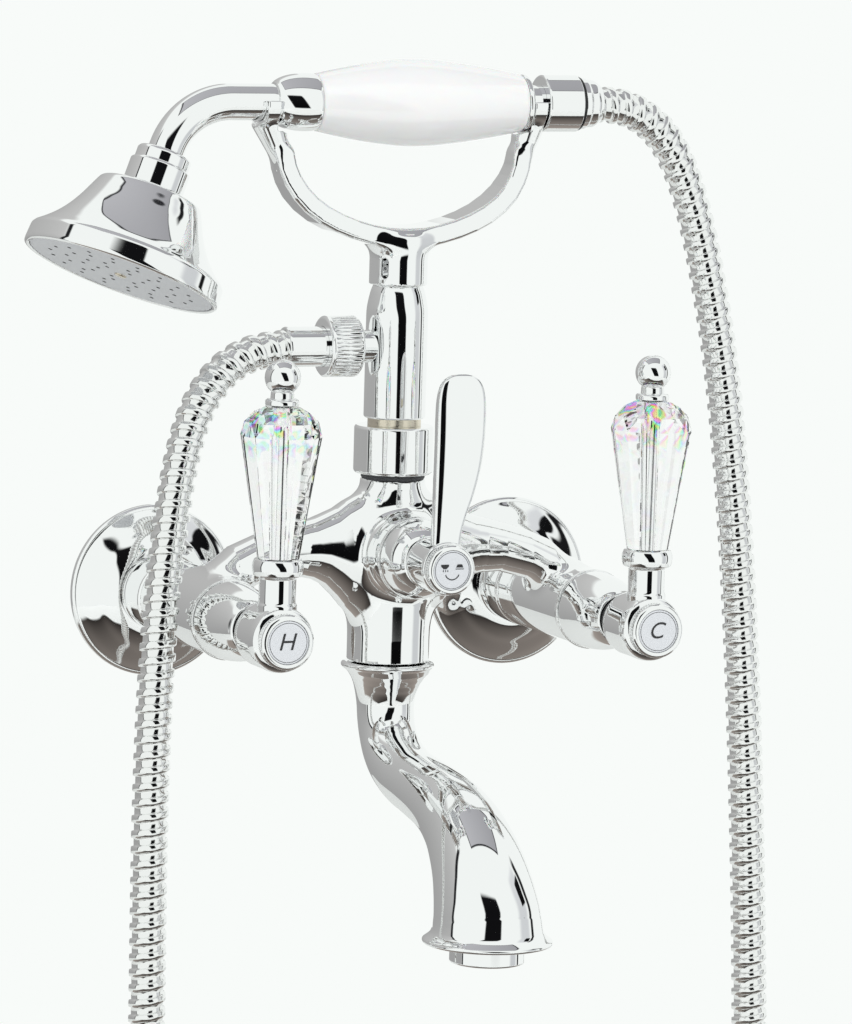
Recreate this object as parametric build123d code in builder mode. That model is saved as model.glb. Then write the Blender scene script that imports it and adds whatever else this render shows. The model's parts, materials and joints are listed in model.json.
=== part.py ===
"""Wall-mounted bath shower mixer with a hand shower resting on its cradle.

Sizes are in millimetres. +X is to the right seen from the front, +Y goes into the wall, +Z is up.
The origin is on the wall's face, midway between the two water connections.
A depth is a distance out from the wall's face, so it lies at minus Y.
"""

import os
from math import cos, pi, radians, sin, tan

from build123d import *

os.makedirs("parts", exist_ok=True)

# Fits
thread_fit = 0.05
shaft_fit = 0.06
seat_gap = 0.3
cut_overrun = 1.0

# Wall connections
inlet_spacing = 150.0
stud_radius = 10.48
stud_length = 14.0
union_radius = 13.1
union_bore = 7.0
union_depth = 21.0

# Wall roses
rose_radius = 33.5
rose_depth = 11.0
rose_wall = 1.4
rose_band = 2.4
rose_curve_shares = [(1.0, 0.0), (0.78, 0.28), (0.56, 0.52), (0.38, 0.76), (0.0, 1.0)]

# Union nuts and inlet washers
nut_radius = 15.2
nut_length = 15.4
nut_edge = 0.8
inlet_washer_thickness = 1.8
spigot_flange = 2.6
spigot_neck_radius = 10.4

# Valve ends of the casting
valve_end_radius = 15.0
valve_end_back = 28.0
valve_end_front = 86.3
bead_height = 0.6
bead_width = 1.8
valve_bore = 9.5
valve_bore_depth = 34.0
inlet_port = 7.0

# Centre of the casting
column_depth = 61.5
body_top = 49.5
body_bottom = 21.0
body_top_radius = 12.2
body_upper_shares = [(1.0, 1.0), (0.84, 0.98), (0.66, 1.07), (0.42, 1.35), (0.1, 1.42)]
body_lower_shares = [(0.48, 1.34), (1.0, 1.3)]
waterway = 6.0
arm_waterway = 4.2

# Arms of the casting, from the centre out to the valve ends
arm_rise = 22.5
arm_half_height = 21.6
arm_half_depth = 13.0
arm_section_shares = [
    (0.0, 0.98, 0.0, 1.08, 1.05),
    (0.26, 0.92, 0.0, 1.0, 1.0),
    (0.39, 1.02, 0.0, 0.66, 0.86),
    (0.5, 1.04, 6.0, 0.5, 0.8),
    (0.62, 0.94, 18.0, 0.46, 0.86),
    (0.75, 0.66, 34.0, 0.52, 1.05),
    (0.88, 0.28, 44.0, 0.58, 1.1),
]

# Tap cartridges, shrouds and spindles, set back from the handles' stems
handle_depth = 134.2
cartridge_nose_radius = 8.2
cartridge_nose_setback = 21.3
shroud_setback = 21.1
shroud_front_radius = 9.7
shroud_wall = 1.6
shroud_curve_shares = [(0.0, 0.0), (0.3, 0.07), (0.6, 0.3), (0.86, 0.68), (1.0, 1.0)]
spindle_radius = 4.0
spindle_hole_depth = 16.9
spindle_end_gap = 2.0

# Tap handles
hub_radius = 12.5
hub_setback = 13.6
hub_length = 21.6
hub_sleeve_radius = 7.4
hub_sleeve_length = 6.6
hub_edge = 2.2
hub_web_setback = 1.2
hub_web = 2.0
stem_seat_height = 13.4
stem_boss_radius = 7.4
stem_radius = 6.9
stem_socket_radius = 4.6
stem_tail_length = 6.5
bead_ring_base = 23.1
bead_ring_radius = 9.6
crystal_base = 30.1
crystal_height = 56.0
crystal_sides = 12
crystal_base_radius = 8.0
crystal_girdle_radius = 15.3
crystal_girdle_share = 0.82
crystal_crown_shares = [(0.62, 1.3), (0.83, 1.0), (0.94, 0.8), (1.0, 0.62)]
rod_radius = 2.2
rod_clearance = 0.1
finial_ring_height = 2.9
finial_ring_radius = 6.3
finial_neck_radius = 4.3
finial_neck_height = 2.6
finial_ball_radius = 6.7

# Index caps, badges and their screws
cap_radius = 10.3
cap_thickness = 4.6
cap_grooves = 48
cap_groove = 0.35
cap_spigot_radius = 8.6
cap_spigot_length = 2.2
badge_radius = 8.1
badge_thickness = 0.8
badge_recess = 0.9
screw_head_radius = 4.4
screw_head_height = 2.4
screw_radius = 2.4
screw_length = 8.0

# Diverter
diverter_height = 21.8
diverter_boss_radius = 15.4
diverter_boss_front = 88.2
diverter_shroud_length = 12.4
diverter_shroud_front = 10.2
diverter_bore = 8.5
diverter_bore_back = 70.0
diverter_nose_radius = 7.4
diverter_nose_end = 100.2
lever_hub_radius = 10.3
lever_hub_back = 101.2
lever_hub_length = 17.0
lever_back = 112.0
lever_thickness = 5.0
lever_top = 73.0
lever_lean = 5.1
lever_root_half = 6.0
lever_tip_half = 9.8
lever_corner = 6.5
diverter_cap_radius = 9.4
diverter_cap_thickness = 4.4
diverter_badge_radius = 7.5

# Spout, from the lip under the body down to the mouth
spout_gap = 0.4
spigot_radius = 9.4
spigot_length = 15.0
spigot_groove = 1.2
seal_width = 2.2
lip_radius = 18.0
lip_height = 3.4
spout_reach = 104.5
spout_drop = 90.0
mouth_radius = 20.6
spout_section_shares = [
    (0.0, 0.0, 90.0, 0.85),
    (0.0, 0.045, 90.0, 0.68),
    (0.0, 0.1, 90.0, 0.575),
    (0.0, 0.175, 88.0, 0.535),
    (0.02, 0.27, 62.0, 0.53),
    (0.095, 0.36, 33.0, 0.55),
    (0.25, 0.43, 15.0, 0.585),
    (0.48, 0.48, 15.0, 0.63),
    (0.68, 0.54, 27.0, 0.7),
    (0.835, 0.645, 48.0, 0.81),
    (0.935, 0.765, 68.0, 0.91),
    (0.99, 0.885, 84.0, 0.985),
    (1.0, 0.95, 90.0, 1.0),
]
spout_run_sections = 4
spout_bore_share = 0.6
flange_radius = 24.4
flange_height = 2.6
flange_flare = 1.8
aerator_radius = 14.0
aerator_thread_radius = 12.0
aerator_thread_length = 10.0
aerator_skirt = 3.8
aerator_hole = 10.0
aerator_lip = 0.8
aerator_insert_thickness = 1.6
aerator_cells = 4
aerator_cell = 3.2
aerator_bar = 0.9

# Riser column with its nut, rings and hose outlet, up to the cradle that holds the hand shower
handset_height = 193.8
column_seal_radius = 12.9
column_seal_height = 2.2
column_nut_radius = 15.3
column_nut_height = 18.4
column_nut_edge = 0.8
column_ring_radius = 11.0
column_ring_height = 2.9
column_tail_radius = 8.8
column_tail_depth = 13.0
column_radius = 11.9
column_top_radius = 9.4
column_curve_shares = [(0.7, 1.0), (0.82, 0.94), (0.93, 0.5), (1.0, 0.0)]
column_bore = 4.8
post_radius = 6.0
post_height = 10.0
outlet_share = 0.54
outlet_neck_radius = 6.35
outlet_neck_length = 5.7
outlet_thread_radius = 10.3
outlet_thread_length = 8.4
outlet_bore = 4.4

# Cradle
cradle_stem_radius = 11.2
cradle_stem_height = 14.8
cradle_height = 69.5
fork_half_width = 52.5
fork_band = 7.4
fork_depth = 10.0
fork_rise_share = 0.4892
fork_outer_shares = [(0.0, 0.0), (0.3, 0.045), (0.55, 0.165), (0.77, 0.38), (0.93, 0.68), (1.0, 1.0)]
fork_inner_shares = [(1.0, 1.0), (0.965, 0.74), (0.83, 0.45), (0.58, 0.2), (0.3, 0.055), (0.0, 0.0)]
saddle_width = 5.4
saddle_wall = 2.8
saddle_base_half = 6.6
saddle_lift = 1.0
saddle_foot = 11.6
grub_angle = 51.0
grub_slot_width = 2.8
grub_slot_height = 7.6
grub_radius = 1.3
grub_length = 4.6

# Hand shower: arm, ferrules and grip
arm_tube_radius = 7.0
arm_tube_bore = 3.6
arm_corner = -89.0
arm_bend = 28.0
head_turn = 67.5
head_roll = 7.4
head_drop = 70.9
grip_start = -36.4
grip_end = 48.6
grip_end_radius = 11.0
grip_middle_radius = 16.6
grip_middle_share = 0.46
core_radius = 5.0
ferrule_length = 16.6
ferrule_seat = 8.0
rear_ring = 2.0
rear_neck_radius = 7.0
rear_neck_length = 6.3
rear_thread_radius = 10.3
rear_thread_length = 9.0
rear_socket = 5.0

# Shower head, heights along its axis from the spray face
head_rim_radius = 38.5
head_band = 8.5
head_band_radius = 37.4
head_shoulder_height = 32.0
head_shoulder_radius = 21.0
head_top = 34.7
head_wall = 1.6
head_flare_shares = [(0.0, 1.0), (0.25, 0.66), (0.5, 0.37), (0.78, 0.13), (1.0, 0.0)]
head_neck_radius = 9.0
head_neck_height = 5.4
head_neck_bore = 4.5
collar_radius = 11.7
collar_height = 10.0
collar_top_radius = 10.6
collar_top_height = 5.3
face_radius = 36.4
face_thickness = 2.6
face_inset = 0.5
nozzle_radius = 0.7
nozzle_rings = [(12.0, 8), (21.0, 14), (30.0, 20)]

# Hose and its fittings
hose_radius = 6.4
hose_groove_radius = 5.7
hose_bore = 4.4
hose_rib_pitch = 7.6
hose_rib_shares = [(0.0, 0.0), (0.14, 1.0), (0.74, 1.0), (0.88, 0.0)]
hose_clearance = 0.1
washer_thickness = 1.6
washer_hole = 4.4
hose_nut_radius = 11.75
hose_nut_overhang = 0.6
hose_nut_lip = 1.4
hose_nut_flutes = 36
hose_nut_flute = 0.45
hose_nut_chamfer = 0.8
ferrule_flange = 1.6
ferrule_flange_radius = 10.0
ferrule_sleeve_radius = 7.7
ferrule_sleeve_length = 17.0
connector_radius = 11.0
connector_length = 14.6
connector_lip_radius = 8.3
swivel_radius = 9.25
swivel_end_radius = 7.5
swivel_length = 8.6
swivel_taper = 2.6
swivel_ring = 1.2
swivel_tail_radius = 8.2

# Hose: where the loop's bottom hangs, and each side's route as shares of the way there
loop_side = 30.0
loop_depth = 70.6
loop_drop = 480.0
mixer_side_shares = [
    (-0.3936, 0.0, -0.0),
    (-0.647, 0.0, 0.0095),
    (-0.8412, 0.1099, 0.03),
    (-0.9764, 0.4396, 0.0598),
    (-1.0861, 0.9341, 0.108),
    (-1.1875, 1.5385, 0.1734),
    (-1.2466, 1.978, 0.2767),
    (-1.2382, 2.033, 0.4231),
    (-1.2128, 1.8681, 0.5833),
    (-1.1453, 1.5934, 0.7382),
    (-0.799, 1.3187, 0.8691),
    (-0.174, 1.0989, 0.9613),
    (0.6284, 1.0, 1.0),
]
handset_side_shares = [
    (-0.5253, 0.0, -0.0),
    (-0.8293, 0.0, 0.005),
    (-1.0987, 0.0, 0.016),
    (-1.304, 0.0, 0.0329),
    (-1.4853, 0.0, 0.0576),
    (-1.672, 0.0, 0.0947),
    (-1.912, 0.0, 0.1585),
    (-2.1307, 0.0, 0.255),
    (-2.296, 0.0, 0.3618),
    (-2.4533, 0.0, 0.5028),
    (-2.52, 0.1648, 0.6408),
    (-2.3867, 0.4396, 0.7744),
    (-1.84, 0.6593, 0.8872),
    (-0.8533, 0.8791, 0.9666),
    (0.4133, 1.0, 1.0),
]
hose_corner_share = 0.45


def turn_profile(plane, axis, stretches, mode):
    """Turns a closed outline: a stretch of two points is straight, one of more is a smooth curve."""
    with BuildSketch(plane) as profile:
        with BuildLine():
            for stretch in stretches:
                if len(stretch) == 2:
                    Line(*stretch)
                else:
                    Spline(*stretch)
            Line(stretches[-1][-1], stretches[0][0])
        make_face()
    revolve(profile.sketch, axis=axis, mode=mode)


def straight(points):
    """The stretches of an outline with straight sides."""
    return [[first, second] for first, second in zip(points, points[1:])]


def turn_forward(x, z, stretches, mode=Mode.ADD):
    """Turns (radius, depth) stretches round an axis that runs straight out from the wall."""
    placed = [[(x + radius, -depth) for radius, depth in stretch] for stretch in stretches]
    turn_profile(Plane.XY.offset(z), Axis((x, 0, z), (0, 1, 0)), placed, mode)


def turn_upright(x, depth, stretches, mode=Mode.ADD):
    """Turns (radius, height) stretches round an upright axis."""
    placed = [[(x + radius, height) for radius, height in stretch] for stretch in stretches]
    turn_profile(Plane.XZ.offset(depth), Axis((x, -depth, 0), (0, 0, 1)), placed, mode)


def turn_level(z, stretches, mode=Mode.ADD):
    """Turns (x, radius) stretches round an axis that runs from side to side at the column's depth."""
    placed = [[(x, z + radius) for x, radius in stretch] for stretch in stretches]
    turn_profile(Plane.XZ.offset(column_depth), Axis((0, -column_depth, z), (1, 0, 0)), placed, mode)


def ring_forward(x, z, inner, outer, back, front, mode=Mode.ADD):
    corners = [(inner, back), (outer, back), (outer, front), (inner, front)]
    turn_forward(x, z, straight(corners), mode)


def ring_upright(x, depth, inner, outer, low, high, mode=Mode.ADD):
    corners = [(inner, low), (outer, low), (outer, high), (inner, high)]
    turn_upright(x, depth, straight(corners), mode)


def ring_level(z, inner, outer, start, end, mode=Mode.ADD):
    corners = [(start, inner), (start, outer), (end, outer), (end, inner)]
    turn_level(z, straight(corners), mode)


def save(part, name):
    part.label = name
    export_step(part, "parts/" + name + ".step")


half_spacing = inlet_spacing / 2
sides = {"left": -half_spacing, "right": half_spacing}

# Wall unions: a stud for the wall's fitting behind, a thread for the nut in front
with BuildPart() as wall_unions:
    for inlet_x in sides.values():
        ring_forward(inlet_x, 0, union_bore, stud_radius, -stud_length, 0)
        ring_forward(inlet_x, 0, union_bore, union_radius, 0, union_depth)
save(wall_unions.part, "wall_unions")

# Wall roses: thin concave dishes that slide over the unions
rose_hole = union_radius + thread_fit
rose_outer_span = rose_radius - rose_hole - rose_wall
rose_inner_span = rose_radius - rose_wall - rose_hole
rose_outer = [
    (rose_hole + rose_wall + rose_outer_span * out, rose_band + (rose_depth - rose_band) * deep)
    for out, deep in rose_curve_shares
]
rose_inner = [
    (rose_hole + rose_inner_span * out, rose_band - rose_wall + (rose_depth - rose_band) * deep)
    for out, deep in reversed(rose_curve_shares)
]
for side, inlet_x in sides.items():
    with BuildPart() as wall_rose:
        turn_forward(inlet_x, 0, [
            [(rose_radius - rose_wall, 0), (rose_radius, 0)],
            [(rose_radius, 0), (rose_radius, rose_band)],
            rose_outer,
            [rose_outer[-1], (rose_hole, rose_depth)],
            [(rose_hole, rose_depth), rose_inner[0]],
            rose_inner,
        ])
    save(wall_rose.part, "wall_rose_" + side)

# Union nuts: captive on the casting's spigots, screwed over the unions
nut_back = rose_depth + seat_gap
nut_front = nut_back + nut_length
spigot_back = union_depth + inlet_washer_thickness
spigot_front = spigot_back + spigot_flange
with BuildPart() as union_nuts:
    for inlet_x in sides.values():
        turn_forward(inlet_x, 0, straight([
            (union_radius + thread_fit, nut_back),
            (nut_radius - nut_edge, nut_back),
            (nut_radius, nut_back + nut_edge),
            (nut_radius, nut_front - nut_edge),
            (nut_radius - nut_edge, nut_front),
            (spigot_neck_radius + thread_fit, nut_front),
            (spigot_neck_radius + thread_fit, spigot_front + thread_fit),
            (union_radius + thread_fit, spigot_front + thread_fit),
        ]))
save(union_nuts.part, "union_nuts")

with BuildPart() as inlet_washers:
    for inlet_x in sides.values():
        ring_forward(inlet_x, 0, union_bore, union_radius, union_depth, spigot_back)
save(inlet_washers.part, "inlet_washers")

# Casting: the centre, two arms, two valve ends and the diverter's boss
body_outline = [(body_top_radius * wide, body_top * high) for high, wide in body_upper_shares]
body_outline += [(body_top_radius * wide, -body_bottom * low) for low, wide in body_lower_shares]
valve_seat = valve_end_front - valve_bore_depth
with BuildPart() as mixer_body:
    turn_upright(0, column_depth, [
        [(0, body_top), body_outline[0]],
        body_outline,
        [body_outline[-1], (0, -body_bottom)],
    ])
    for direction in (-1, 1):
        arm_sections = []
        for along, up, tilt, tall, deep in arm_section_shares:
            leaning = radians(tilt)
            centre = (direction * half_spacing * along, -column_depth, arm_rise * up)
            across = Plane(centre, x_dir=(0, 1, 0), z_dir=(direction * cos(leaning), 0, -sin(leaning)))
            with BuildSketch(across) as section:
                Ellipse(arm_half_depth * deep, arm_half_height * tall)
            arm_sections.append(section.sketch.faces()[0])
        loft(arm_sections)
    for inlet_x in sides.values():
        turn_forward(inlet_x, 0, straight([
            (0, spigot_back),
            (union_radius, spigot_back),
            (union_radius, spigot_front),
            (spigot_neck_radius, spigot_front),
            (spigot_neck_radius, valve_end_back),
            (valve_end_radius - bead_height, valve_end_back),
            (valve_end_radius, valve_end_back + bead_height),
            (valve_end_radius, valve_end_front - bead_width),
            (valve_end_radius + bead_height, valve_end_front - bead_width),
            (valve_end_radius + bead_height, valve_end_front),
            (0, valve_end_front),
        ]))
    turn_forward(0, diverter_height, straight([
        (0, column_depth),
        (diverter_boss_radius, column_depth),
        (diverter_boss_radius, diverter_boss_front - bead_width),
        (diverter_boss_radius + bead_height, diverter_boss_front - bead_width),
        (diverter_boss_radius + bead_height, diverter_boss_front),
        (0, diverter_boss_front),
    ]))
    for direction, inlet_x in ((-1, -half_spacing), (1, half_spacing)):
        ring_forward(inlet_x, 0, 0, valve_bore, valve_seat, valve_end_front, Mode.SUBTRACT)
        ring_forward(inlet_x, 0, 0, inlet_port, spigot_back, valve_seat, Mode.SUBTRACT)
        with BuildLine() as gallery:
            Polyline(
                (0, -column_depth, arm_rise),
                (direction * half_spacing * 0.5, -column_depth, arm_rise),
                (direction * (half_spacing - valve_bore / 2), -column_depth, valve_bore / 2),
            )
        with BuildSketch(Plane((0, -column_depth, arm_rise), z_dir=(direction, 0, 0))) as gallery_end:
            Circle(arm_waterway)
        sweep(gallery_end.sketch, path=gallery.wires()[0], transition=Transition.ROUND, mode=Mode.SUBTRACT)
    ring_forward(0, diverter_height, 0, diverter_bore, diverter_bore_back, diverter_boss_front, Mode.SUBTRACT)
    ring_upright(0, column_depth, 0, waterway, -body_bottom, body_top, Mode.SUBTRACT)
    spigot_bore = spigot_radius + shaft_fit
    spigot_top = -body_bottom + spigot_length + seat_gap
    ring_upright(0, column_depth, 0, spigot_bore, -body_bottom, spigot_top, Mode.SUBTRACT)
    tail_bottom = body_top - column_tail_depth
    ring_upright(0, column_depth, 0, column_tail_radius + thread_fit, tail_bottom, body_top, Mode.SUBTRACT)
print("casting", mixer_body.part.is_valid, len(mixer_body.part.solids()), round(mixer_body.part.volume))
save(mixer_body.part, "mixer_body")

# Tap cartridges: brass cylinders in the valve ends, with a nose inside each shroud
spindle_hole = spindle_radius + shaft_fit
cartridge_nose_end = handle_depth - cartridge_nose_setback
spindle_hole_back = cartridge_nose_end - spindle_hole_depth
shroud_length = handle_depth - shroud_setback - valve_end_front
with BuildPart() as valve_cartridges:
    for inlet_x in sides.values():
        turn_forward(inlet_x, 0, straight([
            (0, valve_seat),
            (valve_bore - thread_fit, valve_seat),
            (valve_bore - thread_fit, valve_end_front),
            (cartridge_nose_radius, valve_end_front),
            (cartridge_nose_radius, cartridge_nose_end),
            (spindle_hole, cartridge_nose_end),
            (spindle_hole, spindle_hole_back),
            (0, spindle_hole_back),
        ]))
save(valve_cartridges.part, "valve_cartridges")


def shroud(x, z, back, length, back_radius, front_radius, hole):
    """A bell that covers a cartridge, smooth outside and hollow inside."""
    outer = [
        (back_radius - (back_radius - front_radius) * narrowed, back + length * along)
        for along, narrowed in shroud_curve_shares
    ]
    inner_back = back_radius - shroud_wall
    inner_end = back + length - shroud_wall
    turn_forward(x, z, [
        outer,
        [outer[-1], (hole, back + length)],
        [(hole, back + length), (hole, inner_end)],
        [(hole, inner_end), (inner_back, back + length / 4)],
        [(inner_back, back + length / 4), (inner_back, back)],
    ])


for side, inlet_x in sides.items():
    with BuildPart() as valve_shroud:
        shroud(inlet_x, 0, valve_end_front, shroud_length, valve_end_radius, shroud_front_radius,
               cartridge_nose_radius + thread_fit)
    save(valve_shroud.part, "valve_shroud_" + side)


def index_cap(x, z, back, radius, thickness, plate_radius, spigot):
    """A milled cap that plugs into a hub and holds a badge."""
    front = back + thickness
    with BuildPart() as cap:
        turn_forward(x, z, straight([
            (0, back - cap_spigot_length),
            (spigot, back - cap_spigot_length),
            (spigot, back),
            (radius, back),
            (radius, front - cap_groove),
            (radius - cap_groove, front),
            (plate_radius + thread_fit, front),
            (plate_radius + thread_fit, front - badge_recess),
            (0, front - badge_recess),
        ]))
        with BuildSketch(Plane((x, -back, z), x_dir=(1, 0, 0), z_dir=(0, -1, 0))) as milling:
            with PolarLocations(radius, cap_grooves):
                Circle(cap_groove)
        extrude(milling.sketch, amount=thickness / 2, mode=Mode.SUBTRACT)
    with BuildPart() as badge:
        badge_back = front - badge_recess
        ring_forward(x, z, 0, plate_radius, badge_back, badge_back + badge_thickness)
    return cap.part, badge.part


def fixing_screw(x, z, seat):
    """A cheese-head screw; seat is the depth of the web under its head."""
    with BuildPart() as screw:
        turn_forward(x, z, straight([
            (0, seat - screw_length),
            (screw_radius, seat - screw_length),
            (screw_radius, seat),
            (screw_head_radius, seat),
            (screw_head_radius, seat + screw_head_height),
            (0, seat + screw_head_height),
        ]))
        with BuildSketch(Plane((x, -seat - screw_head_height, z), x_dir=(1, 0, 0), z_dir=(0, 1, 0))) as slot:
            Rectangle(screw_head_radius * 2 + cut_overrun, screw_head_height / 3)
        extrude(slot.sketch, amount=screw_head_height / 2, mode=Mode.SUBTRACT)
    return screw.part


# Tap handles: spindle, hub, stem, cut crystal, finial with its rod, cap, badge and screw
hub_back = handle_depth - hub_setback
hub_front = hub_back + hub_length
hub_web_back = handle_depth - hub_web_setback
web_front = hub_web_back + hub_web
spindle_start = spindle_hole_back + spindle_end_gap
stem_socket_floor = stem_seat_height - stem_tail_length
crystal_top = crystal_base + crystal_height
rod_bottom = bead_ring_base + finial_ring_height / 2
screw_hole = screw_radius + thread_fit
for side, inlet_x in sides.items():
    with BuildPart() as valve_spindle:
        turn_forward(inlet_x, 0, straight([
            (0, spindle_start),
            (spindle_radius, spindle_start),
            (spindle_radius, hub_web_back),
            (screw_hole, hub_web_back),
            (screw_hole, hub_web_back - screw_length),
            (0, hub_web_back - screw_length),
        ]))
    save(valve_spindle.part, "valve_spindle_" + side)

    with BuildPart() as handle_hub:
        turn_forward(inlet_x, 0, [
            [(spindle_radius, hub_back - hub_sleeve_length),
             (hub_sleeve_radius, hub_back - hub_sleeve_length)],
            [(hub_sleeve_radius, hub_back - hub_sleeve_length), (hub_sleeve_radius, hub_back)],
            [(hub_sleeve_radius, hub_back), (hub_radius - hub_edge, hub_back)],
            [(hub_radius - hub_edge, hub_back), (hub_radius - hub_edge / 4, hub_back + hub_edge / 3),
             (hub_radius, hub_back + hub_edge * 1.5)],
            [(hub_radius, hub_back + hub_edge * 1.5), (hub_radius, hub_front - hub_edge * 1.5)],
            [(hub_radius, hub_front - hub_edge * 1.5), (hub_radius - hub_edge / 4, hub_front - hub_edge / 3),
             (hub_radius - hub_edge, hub_front)],
            [(hub_radius - hub_edge, hub_front), (cap_spigot_radius + thread_fit, hub_front)],
            [(cap_spigot_radius + thread_fit, hub_front),
             (cap_spigot_radius + thread_fit, hub_front - cap_spigot_length)],
            [(cap_spigot_radius + thread_fit, hub_front - cap_spigot_length),
             (screw_head_radius + seat_gap, hub_front - cap_spigot_length)],
            [(screw_head_radius + seat_gap, hub_front - cap_spigot_length),
             (screw_head_radius + seat_gap, web_front)],
            [(screw_head_radius + seat_gap, web_front), (screw_hole, web_front)],
            [(screw_hole, web_front), (screw_hole, hub_web_back)],
            [(screw_hole, hub_web_back), (spindle_radius, hub_web_back)],
        ])
        ring_upright(inlet_x, handle_depth, 0, stem_boss_radius, spindle_radius, stem_seat_height)
        ring_forward(inlet_x, 0, 0, spindle_radius, hub_back, hub_web_back, Mode.SUBTRACT)
        ring_forward(inlet_x, 0, 0, screw_hole, hub_web_back, web_front, Mode.SUBTRACT)
        ring_forward(inlet_x, 0, 0, screw_head_radius + seat_gap, web_front, hub_front - cap_spigot_length,
                     Mode.SUBTRACT)
        ring_forward(inlet_x, 0, 0, cap_spigot_radius + thread_fit, hub_front - cap_spigot_length, hub_front,
                     Mode.SUBTRACT)
        ring_upright(inlet_x, handle_depth, 0, stem_socket_radius, stem_socket_floor,
                     stem_seat_height, Mode.SUBTRACT)
    save(handle_hub.part, "handle_hub_" + side)

    with BuildPart() as handle_stem:
        bead_middle = (bead_ring_base + crystal_base) / 2
        bead_round = (crystal_base - bead_ring_base) / 4
        turn_upright(inlet_x, handle_depth, [
            [(0, stem_socket_floor), (stem_socket_radius, stem_socket_floor)],
            [(stem_socket_radius, stem_socket_floor), (stem_socket_radius, stem_seat_height)],
            [(stem_socket_radius, stem_seat_height), (stem_radius, stem_seat_height)],
            [(stem_radius, stem_seat_height), (stem_radius, bead_ring_base)],
            [(stem_radius, bead_ring_base), (bead_ring_radius - bead_round, bead_ring_base)],
            [(bead_ring_radius - bead_round, bead_ring_base), (bead_ring_radius, bead_middle),
             (bead_ring_radius - bead_round, crystal_base)],
            [(bead_ring_radius - bead_round, crystal_base), (rod_radius, crystal_base)],
            [(rod_radius, crystal_base), (rod_radius, rod_bottom)],
            [(rod_radius, rod_bottom), (0, rod_bottom)],
        ])
    save(handle_stem.part, "handle_stem_" + side)

    with BuildPart() as handle_crystal:
        panel_growth = crystal_girdle_radius - crystal_base_radius
        panel_top_radius = crystal_base_radius + panel_growth / crystal_girdle_share
        panels = []
        for height, radius in ((crystal_base, crystal_base_radius), (crystal_top, panel_top_radius)):
            with BuildSketch(Plane((inlet_x, -handle_depth, height))) as ring:
                RegularPolygon(radius, crystal_sides)
            panels.append(ring.sketch.faces()[0])
        loft(panels, ruled=True)
        half_side = 180 / crystal_sides
        crown_pairs = list(zip(crystal_crown_shares, crystal_crown_shares[1:]))
        for number, ((low, wide), (high, narrow)) in enumerate(crown_pairs):
            slope = (wide - narrow) / (high - low)
            facets = []
            for share in (0, 1):
                radius = crystal_girdle_radius * (wide + slope * (low - share))
                height = crystal_base + crystal_height * share
                with BuildSketch(Plane((inlet_x, -handle_depth, height))) as ring:
                    RegularPolygon(radius, crystal_sides, rotation=half_side * (1 - number % 2))
                facets.append(ring.sketch.faces()[0])
            loft(facets, ruled=True, mode=Mode.INTERSECT)
        ring_upright(inlet_x, handle_depth, 0, rod_radius + rod_clearance, crystal_base, crystal_top,
                     Mode.SUBTRACT)
    save(handle_crystal.part, "handle_crystal_" + side)

    with BuildPart() as handle_finial:
        ring_top = crystal_top + finial_ring_height
        neck_top = ring_top + finial_neck_height
        ball_centre = neck_top + finial_ball_radius * 0.8
        turn_upright(inlet_x, handle_depth, straight([
            (0, rod_bottom),
            (rod_radius, rod_bottom),
            (rod_radius, crystal_top),
            (finial_ring_radius, crystal_top),
            (finial_ring_radius, ring_top),
            (finial_neck_radius, ring_top),
            (finial_neck_radius, neck_top + finial_ball_radius / 2),
            (0, neck_top + finial_ball_radius / 2),
        ]))
        with Locations((inlet_x, -handle_depth, ball_centre)):
            Sphere(finial_ball_radius)
    save(handle_finial.part, "handle_finial_" + side)

    cap, badge = index_cap(inlet_x, 0, hub_front, cap_radius, cap_thickness, badge_radius, cap_spigot_radius)
    save(cap, "index_cap_" + side)
    save(badge, "index_badge_" + side)
    save(fixing_screw(inlet_x, 0, web_front), "handle_screw_" + side)

# Diverter: cartridge, shroud, spindle, lever, cap, badge and screw
with BuildPart() as diverter_cartridge:
    turn_forward(0, diverter_height, straight([
        (0, diverter_bore_back),
        (diverter_bore - thread_fit, diverter_bore_back),
        (diverter_bore - thread_fit, diverter_boss_front),
        (diverter_nose_radius, diverter_boss_front),
        (diverter_nose_radius, diverter_nose_end),
        (spindle_hole, diverter_nose_end),
        (spindle_hole, diverter_boss_front),
        (0, diverter_boss_front),
    ]))
save(diverter_cartridge.part, "diverter_cartridge")

with BuildPart() as diverter_shroud:
    shroud(0, diverter_height, diverter_boss_front, diverter_shroud_length, diverter_boss_radius,
           diverter_shroud_front, diverter_nose_radius + thread_fit)
save(diverter_shroud.part, "diverter_shroud")

lever_hub_front = lever_hub_back + lever_hub_length
lever_web_back = lever_hub_front - cap_spigot_length - screw_head_height - hub_web - seat_gap
lever_web_front = lever_web_back + hub_web
with BuildPart() as diverter_spindle:
    turn_forward(0, diverter_height, straight([
        (0, diverter_boss_front + seat_gap),
        (spindle_radius, diverter_boss_front + seat_gap),
        (spindle_radius, lever_web_back),
        (screw_hole, lever_web_back),
        (screw_hole, lever_web_back - screw_length),
        (0, lever_web_back - screw_length),
    ]))
save(diverter_spindle.part, "diverter_spindle")

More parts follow.
